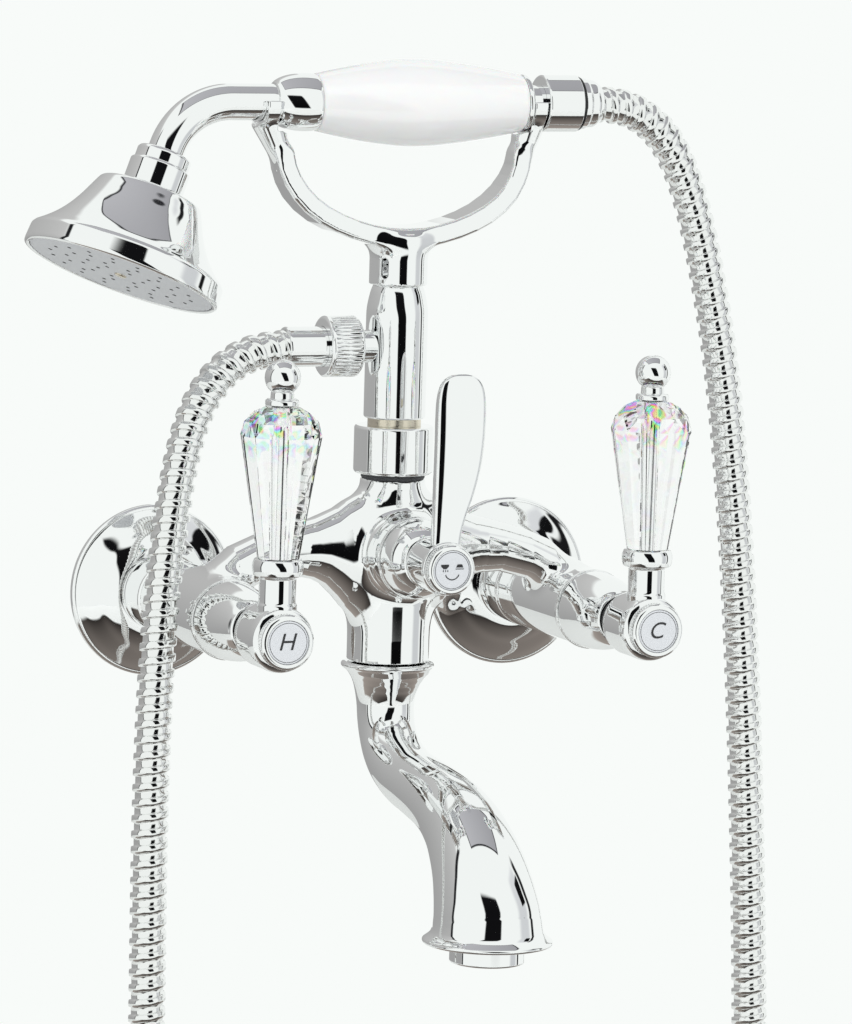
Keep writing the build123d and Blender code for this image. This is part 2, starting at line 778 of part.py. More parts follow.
with BuildPart() as diverter_lever:
    lever_plane = Plane((0, -lever_back, diverter_height), x_dir=(1, 0, 0), z_dir=(0, -1, 0))
    with BuildSketch(lever_plane) as paddle:
        with BuildLine():
            tip_left = (lever_lean - lever_tip_half, lever_top)
            tip_right = (lever_lean + lever_tip_half, lever_top)
            Line((-lever_root_half, 0), tip_left)
            Line(tip_left, tip_right)
            Line(tip_right, (lever_lean + lever_tip_half * 0.95, lever_top * 0.65))
            Spline((lever_lean + lever_tip_half * 0.95, lever_top * 0.65),
                   (lever_lean + lever_tip_half * 0.5, lever_top * 0.33), (lever_root_half, lever_top * 0.12))
            Line((lever_root_half, lever_top * 0.12), (lever_root_half, 0))
            Line((lever_root_half, 0), (-lever_root_half, 0))
        make_face()
        fillet(paddle.vertices().group_by(Axis.Y)[-1], lever_corner)
    extrude(paddle.sketch, amount=lever_thickness)
    ring_forward(0, diverter_height, 0, lever_hub_radius, lever_hub_back, lever_hub_front)
    ring_forward(0, diverter_height, 0, spindle_radius, lever_hub_back, lever_web_back, Mode.SUBTRACT)
    ring_forward(0, diverter_height, 0, screw_hole, lever_web_back, lever_web_front, Mode.SUBTRACT)
    ring_forward(0, diverter_height, 0, screw_head_radius + seat_gap, lever_web_front,
                 lever_hub_front - cap_spigot_length, Mode.SUBTRACT)
    lever_spigot = min(cap_spigot_radius, diverter_cap_radius - hub_edge)
    ring_forward(0, diverter_height, 0, lever_spigot + thread_fit, lever_hub_front - cap_spigot_length,
                 lever_hub_front, Mode.SUBTRACT)
save(diverter_lever.part, "diverter_lever")

cap, badge = index_cap(0, diverter_height, lever_hub_front, diverter_cap_radius, diverter_cap_thickness,
                       diverter_badge_radius, lever_spigot)
save(cap, "diverter_cap")
save(badge, "diverter_badge")
save(fixing_screw(0, diverter_height, lever_web_front), "diverter_screw")

# Riser column: a tail screwed into the casting, the tube and the hose outlet on its side
seal_top = body_top + column_seal_height
nut_top = seal_top + column_nut_height
ring_top = nut_top + column_ring_height
column_top = handset_height - cradle_height
column_height = column_top - ring_top
outlet_height = ring_top + column_height * outlet_share
tail_hole = column_tail_radius + thread_fit
with BuildPart() as column_seal:
    turn_upright(0, column_depth, [
        [(tail_hole, body_top), (column_seal_radius - column_seal_height / 3, body_top)],
        [(column_seal_radius - column_seal_height / 3, body_top),
         (column_seal_radius, body_top + column_seal_height / 2),
         (column_seal_radius - column_seal_height / 3, seal_top)],
        [(column_seal_radius - column_seal_height / 3, seal_top), (tail_hole, seal_top)],
    ])
save(column_seal.part, "column_seal")

with BuildPart() as column_nut:
    turn_upright(0, column_depth, straight([
        (tail_hole, seal_top),
        (column_nut_radius - column_nut_edge, seal_top),
        (column_nut_radius, seal_top + column_nut_edge),
        (column_nut_radius, nut_top - column_nut_edge),
        (column_nut_radius - column_nut_edge, nut_top),
        (tail_hole, nut_top),
    ]))
save(column_nut.part, "column_nut")

with BuildPart() as column_ring:
    ring_upright(0, column_depth, tail_hole, column_ring_radius, nut_top, ring_top)
save(column_ring.part, "column_ring")

outlet_start = -(column_radius + outlet_neck_length)
outlet_end = outlet_start - outlet_thread_length
column_curve = [
    (column_top_radius + (column_radius - column_top_radius) * wide, ring_top + column_height * high)
    for high, wide in column_curve_shares
]
with BuildPart() as riser_column:
    turn_upright(0, column_depth, [
        [(0, tail_bottom), (column_tail_radius, tail_bottom)],
        [(column_tail_radius, tail_bottom), (column_tail_radius, ring_top)],
        [(column_tail_radius, ring_top), (column_radius, ring_top)],
        [(column_radius, ring_top), column_curve[0]],
        column_curve,
        [column_curve[-1], (post_radius, column_top)],
        [(post_radius, column_top), (post_radius, column_top + post_height)],
        [(post_radius, column_top + post_height), (0, column_top + post_height)],
    ])
    ring_level(outlet_height, 0, outlet_neck_radius, outlet_start, 0)
    ring_level(outlet_height, 0, outlet_thread_radius, outlet_end, outlet_start)
    ring_upright(0, column_depth, 0, column_bore, tail_bottom, outlet_height, Mode.SUBTRACT)
    ring_level(outlet_height, 0, outlet_bore, outlet_end, 0, Mode.SUBTRACT)
save(riser_column.part, "riser_column")

# Cradle: a stem over the column's post, a curved fork and two saddles for the hand shower
fork_bottom = column_top + cradle_stem_height
fork_rise = cradle_height * fork_rise_share
fork_top = fork_bottom + fork_rise
fork_inner_half = fork_half_width - fork_band
fork_outer = [(fork_half_width * wide, fork_bottom + fork_rise * high) for wide, high in fork_outer_shares]
fork_inner = [
    (fork_inner_half * wide, fork_bottom + fork_band + (fork_rise - fork_band) * high)
    for wide, high in fork_inner_shares
]
front_ferrule_start = grip_start - ferrule_length
neck_start = grip_end + rear_ring
neck_end = neck_start + rear_neck_length
saddles = {
    -1: (front_ferrule_start - seat_gap - saddle_width, front_ferrule_start - seat_gap),
    1: (neck_start + seat_gap, neck_end - seat_gap),
}
saddle_radius = arm_tube_radius + seat_gap
clear_radius = grip_end_radius + 3 * seat_gap
with BuildPart() as cradle:
    ring_upright(0, column_depth, 0, cradle_stem_radius, column_top, fork_bottom + fork_band / 2)
    with BuildSketch(Plane.XZ.offset(column_depth - fork_depth / 2)) as fork:
        with BuildLine():
            Spline(*[(-x, z) for x, z in reversed(fork_outer)], *fork_outer[1:])
            Line(fork_outer[-1], fork_inner[0])
            Spline(*fork_inner, *[(-x, z) for x, z in reversed(fork_inner[:-1])])
            Line((-fork_inner[0][0], fork_inner[0][1]), (-fork_outer[-1][0], fork_outer[-1][1]))
        make_face()
    extrude(fork.sketch, amount=fork_depth)
    for direction, (start, end) in saddles.items():
        foot = direction * (fork_half_width - fork_band / 2)
        foot_height = handset_height - saddle_radius - saddle_wall
        with BuildSketch(Plane((foot, -column_depth, fork_top - fork_band / 2))) as prong:
            Rectangle(fork_band, fork_depth)
        with BuildSketch(Plane((foot, -column_depth, foot_height + saddle_wall))) as seat:
            with Locations(((start + end) / 2 - foot, 0)):
                RectangleRounded(max(saddle_foot, end - start), 2 * saddle_base_half, saddle_wall / 2)
        loft([prong.sketch.faces()[0], seat.sketch.faces()[0]])
        ring_level(handset_height, 0, saddle_radius + saddle_wall, start, end)
        above = handset_height + saddle_lift + saddle_radius
        with BuildSketch(Plane((0, -column_depth, handset_height + saddle_lift))) as open_top:
            with Locations(((start + end) / 2, 0)):
                Rectangle(end - start + cut_overrun, 4 * saddle_radius)
        extrude(open_top.sketch, amount=above - handset_height + saddle_wall, mode=Mode.SUBTRACT)
    ring_level(handset_height, 0, saddle_radius, -2 * fork_half_width, 2 * fork_half_width, Mode.SUBTRACT)
    ring_level(handset_height, 0, clear_radius, front_ferrule_start - seat_gap, neck_start + seat_gap,
               Mode.SUBTRACT)
    ring_level(handset_height, 0, connector_radius + seat_gap, neck_end - seat_gap, 2 * fork_half_width,
               Mode.SUBTRACT)
    ring_upright(0, column_depth, 0, post_radius + thread_fit, column_top, column_top + post_height + seat_gap,
                 Mode.SUBTRACT)
    slot_middle = column_top + cradle_stem_height * 0.45
    slot_normal = (-sin(radians(grub_angle)), -cos(radians(grub_angle)), 0)
    slot_plane = Plane((0, -column_depth, slot_middle), x_dir=(0, 0, 1), z_dir=slot_normal)
    with BuildSketch(slot_plane) as grub_slot:
        SlotOverall(grub_slot_height, grub_slot_width)
    extrude(grub_slot.sketch, amount=cradle_stem_radius + cut_overrun, mode=Mode.SUBTRACT)
print("cradle", cradle.part.is_valid, len(cradle.part.solids()), round(cradle.part.volume))
save(cradle.part, "cradle")

with BuildPart() as cradle_grub_screw:
    with BuildSketch(slot_plane.offset(post_radius + thread_fit)) as grub:
        Circle(grub_radius)
    extrude(grub.sketch, amount=grub_length)
    with BuildSketch(slot_plane.offset(post_radius + thread_fit + grub_length)) as grub_hex:
        RegularPolygon(grub_radius / 2, 6)
    extrude(grub_hex.sketch, amount=-grub_length / 3, mode=Mode.SUBTRACT)
save(cradle_grub_screw.part, "cradle_grub_screw")

# Hand shower: the bent arm runs through the grip and is held by a ferrule at each end
head_direction = (
    -cos(radians(head_turn)),
    -sin(radians(head_turn)) * sin(radians(head_roll)),
    -sin(radians(head_turn)) * cos(radians(head_roll)),
)
corner = Vector(arm_corner, -column_depth, handset_height)
down_head = Vector(*head_direction)
face_centre = corner + down_head * head_drop
head_plane = Plane(face_centre, x_dir=(0, -1, 0), z_dir=-down_head)
arm_end = corner + down_head * (head_drop - head_top - head_neck_height)
ferrule_shoulder = front_ferrule_start + ferrule_seat
core_end = grip_end + rear_socket
with BuildPart() as handset_arm:
    with BuildLine() as arm_line:
        FilletPolyline((ferrule_shoulder, -column_depth, handset_height), corner, arm_end, radius=arm_bend)
    arm_wire = arm_line.wires()[0]
    with BuildSketch(Plane(arm_wire @ 0, z_dir=arm_wire % 0)) as arm_section:
        Circle(arm_tube_radius)
    sweep(arm_section.sketch, path=arm_wire)
    ring_level(handset_height, 0, core_radius, ferrule_shoulder, core_end)
    with BuildSketch(Plane(arm_wire @ 0, z_dir=arm_wire % 0)) as arm_hollow:
        Circle(arm_tube_bore)
    sweep(arm_hollow.sketch, path=arm_wire, mode=Mode.SUBTRACT)
    ring_level(handset_height, 0, arm_tube_bore, ferrule_shoulder, core_end, Mode.SUBTRACT)
print("arm", handset_arm.part.is_valid, round(handset_arm.part.volume))
save(handset_arm.part, "handset_arm")

core_hole = core_radius + thread_fit
tube_hole = arm_tube_radius + thread_fit
with BuildPart() as front_ferrule:
    turn_level(handset_height, [
        [(front_ferrule_start, tube_hole), (front_ferrule_start, arm_tube_radius + cap_groove)],
        [(front_ferrule_start, arm_tube_radius + cap_groove),
         (front_ferrule_start + ferrule_length * 0.2, grip_end_radius * 0.87),
         (front_ferrule_start + ferrule_length * 0.6, grip_end_radius),
         (grip_start, grip_end_radius * 0.97)],
        [(grip_start, grip_end_radius * 0.97), (grip_start, core_hole)],
        [(grip_start, core_hole), (ferrule_shoulder, core_hole)],
        [(ferrule_shoulder, core_hole), (ferrule_shoulder, tube_hole)],
    ])
save(front_ferrule.part, "front_ferrule")

grip_length = grip_end - grip_start
with BuildPart() as grip:
    turn_level(handset_height, [
        [(grip_start, core_hole), (grip_start, grip_end_radius)],
        [(grip_start, grip_end_radius), (grip_start + grip_length * grip_middle_share, grip_middle_radius),
         (grip_end, grip_end_radius)],
        [(grip_end, grip_end_radius), (grip_end, core_hole)],
    ])
save(grip.part, "grip")

rear_thread_end = neck_end + rear_thread_length
with BuildPart() as rear_ferrule:
    turn_level(handset_height, straight([
        (grip_end, core_hole),
        (grip_end, grip_end_radius),
        (neck_start, grip_end_radius),
        (neck_start, rear_neck_radius),
        (neck_end, rear_neck_radius),
        (neck_end, rear_thread_radius),
        (rear_thread_end, rear_thread_radius),
        (rear_thread_end, arm_tube_bore),
        (core_end, arm_tube_bore),
        (core_end, core_hole),
    ]))
save(rear_ferrule.part, "rear_ferrule")


def turn_on_head(stretches, mode=Mode.ADD):
    """Turns (radius, height) stretches round the shower head's axis."""
    turning = Plane(head_plane.origin, x_dir=head_plane.x_dir, z_dir=-head_plane.y_dir)
    turn_profile(turning, Axis(head_plane.origin, head_plane.z_dir), stretches, mode)


# Shower head: a flared bell, its spray face and the collar on the arm
flare = [
    (head_shoulder_radius + (head_band_radius - head_shoulder_radius) * wide,
     head_band + (head_shoulder_height - head_band) * high)
    for high, wide in head_flare_shares
]
inner_flare = [(radius - head_wall, height - head_wall / 2) for radius, height in reversed(flare)]
with BuildPart() as shower_bell:
    turn_on_head([
        [(face_radius + hose_clearance, 0), (head_rim_radius - head_wall / 2, 0)],
        [(head_rim_radius - head_wall / 2, 0), (head_rim_radius, head_wall / 2)],
        [(head_rim_radius, head_wall / 2), flare[0]],
        flare,
        [flare[-1], (head_shoulder_radius * 0.87, head_shoulder_height + (head_top - head_shoulder_height) * 0.75),
         (head_shoulder_radius * 0.7, head_top)],
        [(head_shoulder_radius * 0.7, head_top), (head_neck_radius, head_top)],
        [(head_neck_radius, head_top), (head_neck_radius, head_top + head_neck_height)],
        [(head_neck_radius, head_top + head_neck_height), (head_neck_bore, head_top + head_neck_height)],
        [(head_neck_bore, head_top + head_neck_height), (head_neck_bore, head_top - head_wall)],
        [(head_neck_bore, head_top - head_wall), (head_shoulder_radius * 0.7, head_top - head_wall)],
        [(head_shoulder_radius * 0.7, head_top - head_wall), inner_flare[0]],
        inner_flare,
        [inner_flare[-1], (face_radius - head_wall, head_band - head_wall)],
        [(face_radius - head_wall, head_band - head_wall), (face_radius - head_wall, face_inset + face_thickness)],
        [(face_radius - head_wall, face_inset + face_thickness),
         (face_radius + hose_clearance, face_inset + face_thickness)],
    ])
save(shower_bell.part, "shower_bell")

with BuildPart() as spray_face:
    turn_on_head(straight([
        (0, face_inset),
        (face_radius, face_inset),
        (face_radius, face_inset + face_thickness),
        (0, face_inset + face_thickness),
    ]))
    for ring_radius, count in nozzle_rings:
        with BuildSketch(head_plane.offset(face_inset)) as nozzles:
            with PolarLocations(ring_radius, count):
                Circle(nozzle_radius)
        extrude(nozzles.sketch, amount=face_thickness, mode=Mode.SUBTRACT)
save(spray_face.part, "spray_face")

collar_base = head_top
collar_step = collar_base + collar_height
collar_end = collar_step + collar_top_height
neck_top_height = head_top + head_neck_height
with BuildPart() as shower_collar:
    turn_on_head(straight([
        (head_neck_radius + thread_fit, collar_base),
        (collar_radius, collar_base),
        (collar_radius, collar_step),
        (collar_top_radius, collar_step),
        (collar_top_radius, collar_end - cap_groove),
        (collar_top_radius - cap_groove, collar_end),
        (tube_hole, collar_end),
        (tube_hole, neck_top_height),
        (head_neck_radius + thread_fit, neck_top_height),
    ]))
save(shower_collar.part, "shower_collar")

# Spout: a lip under the casting, an S-shaped neck and a flared mouth over the aerator
lip_top = -body_bottom - spout_gap
neck_top_z = lip_top - lip_height
mouth_depth = column_depth + spout_reach
mouth_z = neck_top_z - spout_drop * spout_section_shares[-1][1]
flange_top = mouth_z - flange_flare / 2
flange_low = flange_top - flange_flare


def spout_sections(scale):
    """Runs of circles along the spout's centre line, each square to it."""
    circles = []
    for forward, down, tilt, wide in spout_section_shares:
        steep = radians(tilt)
        centre = (0, -column_depth - spout_reach * forward, neck_top_z - spout_drop * down)
        across = Plane(centre, x_dir=(1, 0, 0), z_dir=(0, -cos(steep), -sin(steep)))
        with BuildSketch(across) as circle:
            Circle(mouth_radius * wide * scale)
        circles.append(circle.sketch.faces()[0])
    runs = range(0, len(circles) - 1, spout_run_sections)
    return [circles[first:first + spout_run_sections + 1] for first in runs]


neck_radius = mouth_radius * spout_section_shares[0][3]
bore_top_radius = neck_radius * spout_bore_share
with BuildPart() as spout:
    for run in spout_sections(1):
        loft(run)
    turn_upright(0, column_depth, [
        [(0, neck_top_z), (neck_radius, neck_top_z)],
        [(neck_radius, neck_top_z), (lip_radius * 0.93, neck_top_z + lip_height * 0.4),
         (lip_radius, neck_top_z + lip_height * 0.75), (lip_radius - lip_height * 0.2, lip_top)],
        [(lip_radius - lip_height * 0.2, lip_top), (0, lip_top)],
    ])
    turn_upright(0, column_depth, straight([
        (0, lip_top),
        (spigot_radius, lip_top),
        (spigot_radius, lip_top + spigot_length),
        (0, lip_top + spigot_length),
    ]))
    turn_upright(0, mouth_depth, [
        [(0, mouth_z), (mouth_radius, mouth_z)],
        [(mouth_radius, mouth_z), (mouth_radius + (flange_radius - mouth_radius) * 0.25, flange_top),
         (flange_radius - cap_groove, flange_low)],
        [(flange_radius - cap_groove, flange_low), (flange_radius, flange_low - flange_height / 2)],
        [(flange_radius, flange_low - flange_height / 2),
         (flange_radius - flange_height / 2, flange_low - flange_height)],
        [(flange_radius - flange_height / 2, flange_low - flange_height), (0, flange_low - flange_height)],
    ])
    for run in spout_sections(spout_bore_share):
        loft(run, mode=Mode.SUBTRACT)
    ring_upright(0, column_depth, 0, bore_top_radius * 0.6, neck_top_z, lip_top + spigot_length, Mode.SUBTRACT)
    mouth_bottom = flange_low - flange_height
    thread_top = mouth_bottom + aerator_thread_length
    ring_upright(0, mouth_depth, 0, aerator_thread_radius + thread_fit, mouth_bottom, thread_top, Mode.SUBTRACT)
    groove_radius = spigot_radius - spigot_groove
    seal_bottoms = [lip_top + spigot_length * place - seal_width / 2 for place in (0.35, 0.75)]
    for seal_bottom in seal_bottoms:
        ring_upright(0, column_depth, groove_radius, spigot_radius + cut_overrun, seal_bottom,
                     seal_bottom + seal_width, Mode.SUBTRACT)
print("spout", spout.part.is_valid, len(spout.part.solids()), round(spout.part.volume))
save(spout.part, "spout")

with BuildPart() as spout_seals:
    for seal_bottom in seal_bottoms:
        ring_upright(0, column_depth, groove_radius, spigot_radius, seal_bottom, seal_bottom + seal_width)
save(spout_seals.part, "spout_seals")

skirt_low = mouth_bottom - aerator_skirt
with BuildPart() as aerator_housing:
    turn_upright(0, mouth_depth, straight([
        (aerator_hole, thread_top),
        (aerator_thread_radius, thread_top),
        (aerator_thread_radius, mouth_bottom),
        (aerator_radius, mouth_bottom),
        (aerator_radius, skirt_low + cap_groove),
        (aerator_radius - cap_groove, skirt_low),
        (aerator_hole - aerator_lip, skirt_low),
        (aerator_hole - aerator_lip, skirt_low + aerator_lip),
        (aerator_hole, skirt_low + aerator_lip),
    ]))
save(aerator_housing.part, "aerator_housing")

with BuildPart() as aerator_insert:
    insert_bottom = skirt_low + aerator_lip
    insert_radius = aerator_hole - thread_fit
    ring_upright(0, mouth_depth, 0, insert_radius, insert_bottom, insert_bottom + aerator_insert_thickness)
    with BuildSketch(Plane((0, -mouth_depth, insert_bottom))) as cells:
        pitch = aerator_cell + aerator_bar
        with GridLocations(pitch, pitch, aerator_cells, aerator_cells):
            Rectangle(aerator_cell, aerator_cell)
    extrude(cells.sketch, amount=aerator_insert_thickness, mode=Mode.SUBTRACT)
save(aerator_insert.part, "aerator_insert")

# Hose fittings at the mixer: nut, washer and ferrule on the column's outlet
outlet_washer_end = outlet_end - washer_thickness
flange_end = outlet_washer_end - ferrule_flange
nut_start = outlet_start + hose_nut_overhang
nut_end = flange_end - hose_nut_lip
sleeve_end = flange_end - ferrule_sleeve_length
with BuildPart() as hose_nut:
    turn_level(outlet_height, straight([
        (nut_start, outlet_thread_radius + thread_fit),
        (nut_start, hose_nut_radius - hose_nut_chamfer),
        (nut_start - hose_nut_chamfer, hose_nut_radius),
        (nut_end + hose_nut_chamfer, hose_nut_radius),
        (nut_end, hose_nut_radius - hose_nut_chamfer),
        (nut_end, ferrule_sleeve_radius + thread_fit),
        (flange_end, ferrule_sleeve_radius + thread_fit),
        (flange_end, outlet_thread_radius + thread_fit),
    ]))
    flute_plane = Plane((nut_start, -column_depth, outlet_height), x_dir=(0, 1, 0), z_dir=(-1, 0, 0))
    with BuildSketch(flute_plane) as flutes:
        with PolarLocations(hose_nut_radius, hose_nut_flutes):
            Circle(hose_nut_flute)
    extrude(flutes.sketch, amount=nut_start - nut_end, mode=Mode.SUBTRACT)
save(hose_nut.part, "hose_nut")

with BuildPart() as hose_ferrule:
    turn_level(outlet_height, straight([
        (outlet_washer_end, washer_hole),
        (outlet_washer_end, ferrule_flange_radius),
        (flange_end, ferrule_flange_radius),
        (flange_end, ferrule_sleeve_radius),
        (sleeve_end + cap_groove, ferrule_sleeve_radius),
        (sleeve_end, ferrule_sleeve_radius - cap_groove),
        (sleeve_end, hose_radius + hose_clearance),
        (flange_end, hose_radius + hose_clearance),
        (flange_end, washer_hole),
    ]))
save(hose_ferrule.part, "hose_ferrule")

# Hose fittings at the hand shower: connector, washer, dark ring and swivel
connector_start = neck_end + seat_gap / 3
connector_end = connector_start + connector_length
grip_washer_end = rear_thread_end + washer_thickness
swivel_start = connector_end + swivel_ring
swivel_end = swivel_start + swivel_length
with BuildPart() as hose_connector:
    turn_level(handset_height, straight([
        (connector_start, rear_thread_radius + thread_fit),
        (connector_start, connector_radius - cap_groove),
        (connector_start + cap_groove, connector_radius),
        (connector_end, connector_radius),
        (connector_end, connector_lip_radius),
        (grip_washer_end, connector_lip_radius),
        (grip_washer_end, rear_thread_radius + thread_fit),
    ]))
save(hose_connector.part, "hose_connector")

with BuildPart() as hose_swivel_ring:
    ring_level(handset_height, swivel_tail_radius + thread_fit, connector_radius - cap_groove,
               connector_end, swivel_start)
save(hose_swivel_ring.part, "hose_swivel_ring")

with BuildPart() as hose_swivel:
    turn_level(handset_height, straight([
        (grip_washer_end, hose_radius + hose_clearance),
        (grip_washer_end, swivel_tail_radius),
        (swivel_start, swivel_tail_radius),
        (swivel_start, swivel_radius),
        (swivel_end - swivel_taper, swivel_radius),
        (swivel_end, swivel_end_radius),
        (swivel_end, hose_radius + hose_clearance),
    ]))
save(hose_swivel.part, "hose_swivel")

with BuildPart() as outlet_washer:
    ring_level(outlet_height, washer_hole, outlet_thread_radius, outlet_washer_end, outlet_end)
save(outlet_washer.part, "outlet_washer")

with BuildPart() as handset_washer:
    ring_level(handset_height, washer_hole, outlet_thread_radius, rear_thread_end, grip_washer_end)
save(handset_washer.part, "handset_washer")


def ribbed_hose(start, route_shares, name):
    """A ribbed tube with its bore, along straight runs joined by arcs."""
    way = loop_bottom - start
    corners = [start]
    for sideways, forward, down in route_shares:
        corners.append(start + Vector(way.X * sideways, way.Y * forward, way.Z * down))
    corners.append(loop_bottom)
    radii = []
    for before, at, after in zip(corners, corners[1:], corners[2:]):
        shorter = min((at - before).length, (after - at).length)
        turn = radians((at - before).get_angle(after - at))
        radii.append(hose_corner_share * shorter / tan(turn / 2))
    with BuildLine() as route:
        FilletPolyline(*corners, radius=radii)
    wire = route.wires()[0]
    length = wire.length
    ribs = int(length / hose_rib_pitch)
    pitch = length / ribs
    stations = [
        (pitch * (rib + along), hose_groove_radius + (hose_radius - hose_groove_radius) * high)
        for rib in range(ribs)
        for along, high in hose_rib_shares
    ]
    stations.append((length, hose_groove_radius))
    circles = []
    for distance, radius in stations:
        origin = wire.position_at(distance, position_mode=PositionMode.LENGTH)
        ahead = wire.tangent_at(distance, position_mode=PositionMode.LENGTH)
        steady = Vector(0, 1, 0) - ahead * ahead.Y
        with BuildSketch(Plane(origin, x_dir=steady, z_dir=ahead)) as circle:
            Circle(radius)
        circles.append(circle.sketch.faces()[0])
    with BuildPart() as hose:
        loft(circles, ruled=True)
        with BuildSketch(Plane(wire @ 0, x_dir=(0, 1, 0), z_dir=wire % 0)) as hollow:
            Circle(hose_bore)
        sweep(hollow.sketch, path=wire, mode=Mode.SUBTRACT)
    print(name, "length", round(length), "ribs", ribs, "valid", hose.part.is_valid)
    print(name, "corner radii", [round(radius) for radius in radii])
    ring_area = pi * (hose_radius ** 2 - hose_bore ** 2)
    print(name, "volume over plain tube volume", round(hose.part.volume / (ring_area * length), 3))
    save(hose.part, name)


loop_bottom = Vector(loop_side, -loop_depth, -loop_drop)
ribbed_hose(Vector(flange_end, -column_depth, outlet_height), mixer_side_shares, "hose_mixer_side")
ribbed_hose(Vector(grip_washer_end, -column_depth, handset_height), handset_side_shares, "hose_handset_side")
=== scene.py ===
"""Looks for the wall-mounted bath shower mixer.

The mixer's sizes are in millimetres, and add_piece turns them into metres. Camera and stage are in metres.
"""

import json
from itertools import product
from math import cos, pi, radians, sin

import bpy
import numpy as np
from mathutils import Matrix, Vector


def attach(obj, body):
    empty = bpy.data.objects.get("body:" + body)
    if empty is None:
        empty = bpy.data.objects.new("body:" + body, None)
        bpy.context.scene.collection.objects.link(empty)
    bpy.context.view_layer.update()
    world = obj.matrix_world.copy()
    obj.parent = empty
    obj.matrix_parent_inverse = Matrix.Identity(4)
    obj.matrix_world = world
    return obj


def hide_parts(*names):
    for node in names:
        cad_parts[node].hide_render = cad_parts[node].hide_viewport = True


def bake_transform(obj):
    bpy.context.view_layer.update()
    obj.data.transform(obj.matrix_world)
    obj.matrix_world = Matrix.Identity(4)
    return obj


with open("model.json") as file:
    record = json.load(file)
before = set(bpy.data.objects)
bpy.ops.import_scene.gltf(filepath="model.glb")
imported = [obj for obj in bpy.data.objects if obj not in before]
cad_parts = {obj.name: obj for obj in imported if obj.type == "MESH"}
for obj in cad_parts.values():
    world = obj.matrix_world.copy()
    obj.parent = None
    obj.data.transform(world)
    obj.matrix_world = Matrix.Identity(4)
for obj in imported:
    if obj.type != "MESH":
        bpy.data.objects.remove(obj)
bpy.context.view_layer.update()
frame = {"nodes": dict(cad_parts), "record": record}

MM = 0.001
COLUMN_DEPTH = 61.5
HALF_SPACING = 75.0
HANDLE_DEPTH = 134.2
HANDSET_HEIGHT = 193.8
OUTLET_HEIGHT = 100.7
DIVERTER_HEIGHT = 21.8
MOUTH_DEPTH = 166.0
STRIP_PITCH = 5.9
ARM_TURN = 67.5
CAMERA_DISTANCE = 2.3671
FLOOR_HEIGHT = -0.495
CURVE_STEPS = 8
FLUTE_STEPS = 6
SIDES = {"left": (-HALF_SPACING, "hot_handle"), "right": (HALF_SPACING, "cold_handle")}


def place_object(name, data):
    placed = bpy.data.objects.new(name, data)
    bpy.context.scene.collection.objects.link(placed)
    return placed


# Camera: the photograph's viewing angle, with its lens worked out from the mixer's own sizes

def place_camera():
    turn, rise, roll = radians(-22.851), radians(7.007), radians(1.642)
    back = Vector((sin(turn) * cos(rise), -cos(turn) * cos(rise), sin(rise)))
    level_right = Vector((cos(turn), sin(turn), 0))
    level_up = back.cross(level_right)
    right = cos(roll) * level_right + sin(roll) * level_up
    up = cos(roll) * level_up - sin(roll) * level_right
    aim = Vector((14.946, -60.0, 35.897)) * MM
    data = bpy.data.cameras.new("camera")
    data.lens = 215.68
    data.sensor_width = 36
    data.clip_end = 100
    camera = place_object("camera", data)
    rows = [(right[i], up[i], back[i], aim[i] + back[i] * CAMERA_DISTANCE) for i in range(3)]
    camera.matrix_world = Matrix(rows + [(0, 0, 0, 1)])
    bpy.context.scene.camera = camera


# Colours and nodes

def linear(hex_colour):
    """An sRGB hex colour as linear values with alpha."""
    values = [int(hex_colour[i:i + 2], 16) / 255 for i in (1, 3, 5)]
    return [v / 12.92 if v <= 0.04045 else ((v + 0.055) / 1.055) ** 2.4 for v in values] + [1.0]


def add_node(tree, kind, settings=None, **links):
    """Adds a node; each link or value is given by the input's name, with underscores for spaces."""
    node = tree.nodes.new("ShaderNode" + kind)
    for key, value in (settings or {}).items():
        setattr(node, key, value)
    for name, value in links.items():
        socket = node.inputs[int(name[1:])] if name[0] == "_" else node.inputs[name.replace("_", " ")]
        if isinstance(value, bpy.types.NodeSocket):
            tree.links.new(value, socket)
        else:
            socket.default_value = value
    return node


def new_material(name, colour, metallic, roughness, **sockets):
    """A material with its shader's plain values set; returns it with its tree and shader."""
    material = bpy.data.materials.new(name)
    material.use_nodes = True
    shader = material.node_tree.nodes["Principled BSDF"]
    shader.inputs["Base Color"].default_value = linear(colour)
    shader.inputs["Metallic"].default_value = metallic
    shader.inputs["Roughness"].default_value = roughness
    for socket, value in sockets.items():
        shader.inputs[socket.replace("_", " ")].default_value = value
    return material, material.node_tree, shader


def grain(tree, shader, size_mm, height, rough_low, rough_high, stretch=(1, 1, 1)):
    """Bump and roughness from one noise whose features are size_mm across."""
    place = add_node(tree, "TexCoord").outputs["Object"]
    scaled = add_node(tree, "Mapping", Vector=place, Scale=stretch).outputs["Vector"]
    noise = add_node(tree, "TexNoise", Vector=scaled, Scale=1000 / size_mm, Detail=3.0).outputs["Fac"]
    bump = add_node(tree, "Bump", Height=noise, Strength=1.0, Distance=height * MM)
    tree.links.new(bump.outputs["Normal"], shader.inputs["Normal"])
    rough = add_node(tree, "MapRange", Value=noise, To_Min=rough_low, To_Max=rough_high)
    tree.links.new(rough.outputs["Result"], shader.inputs["Roughness"])
    return noise


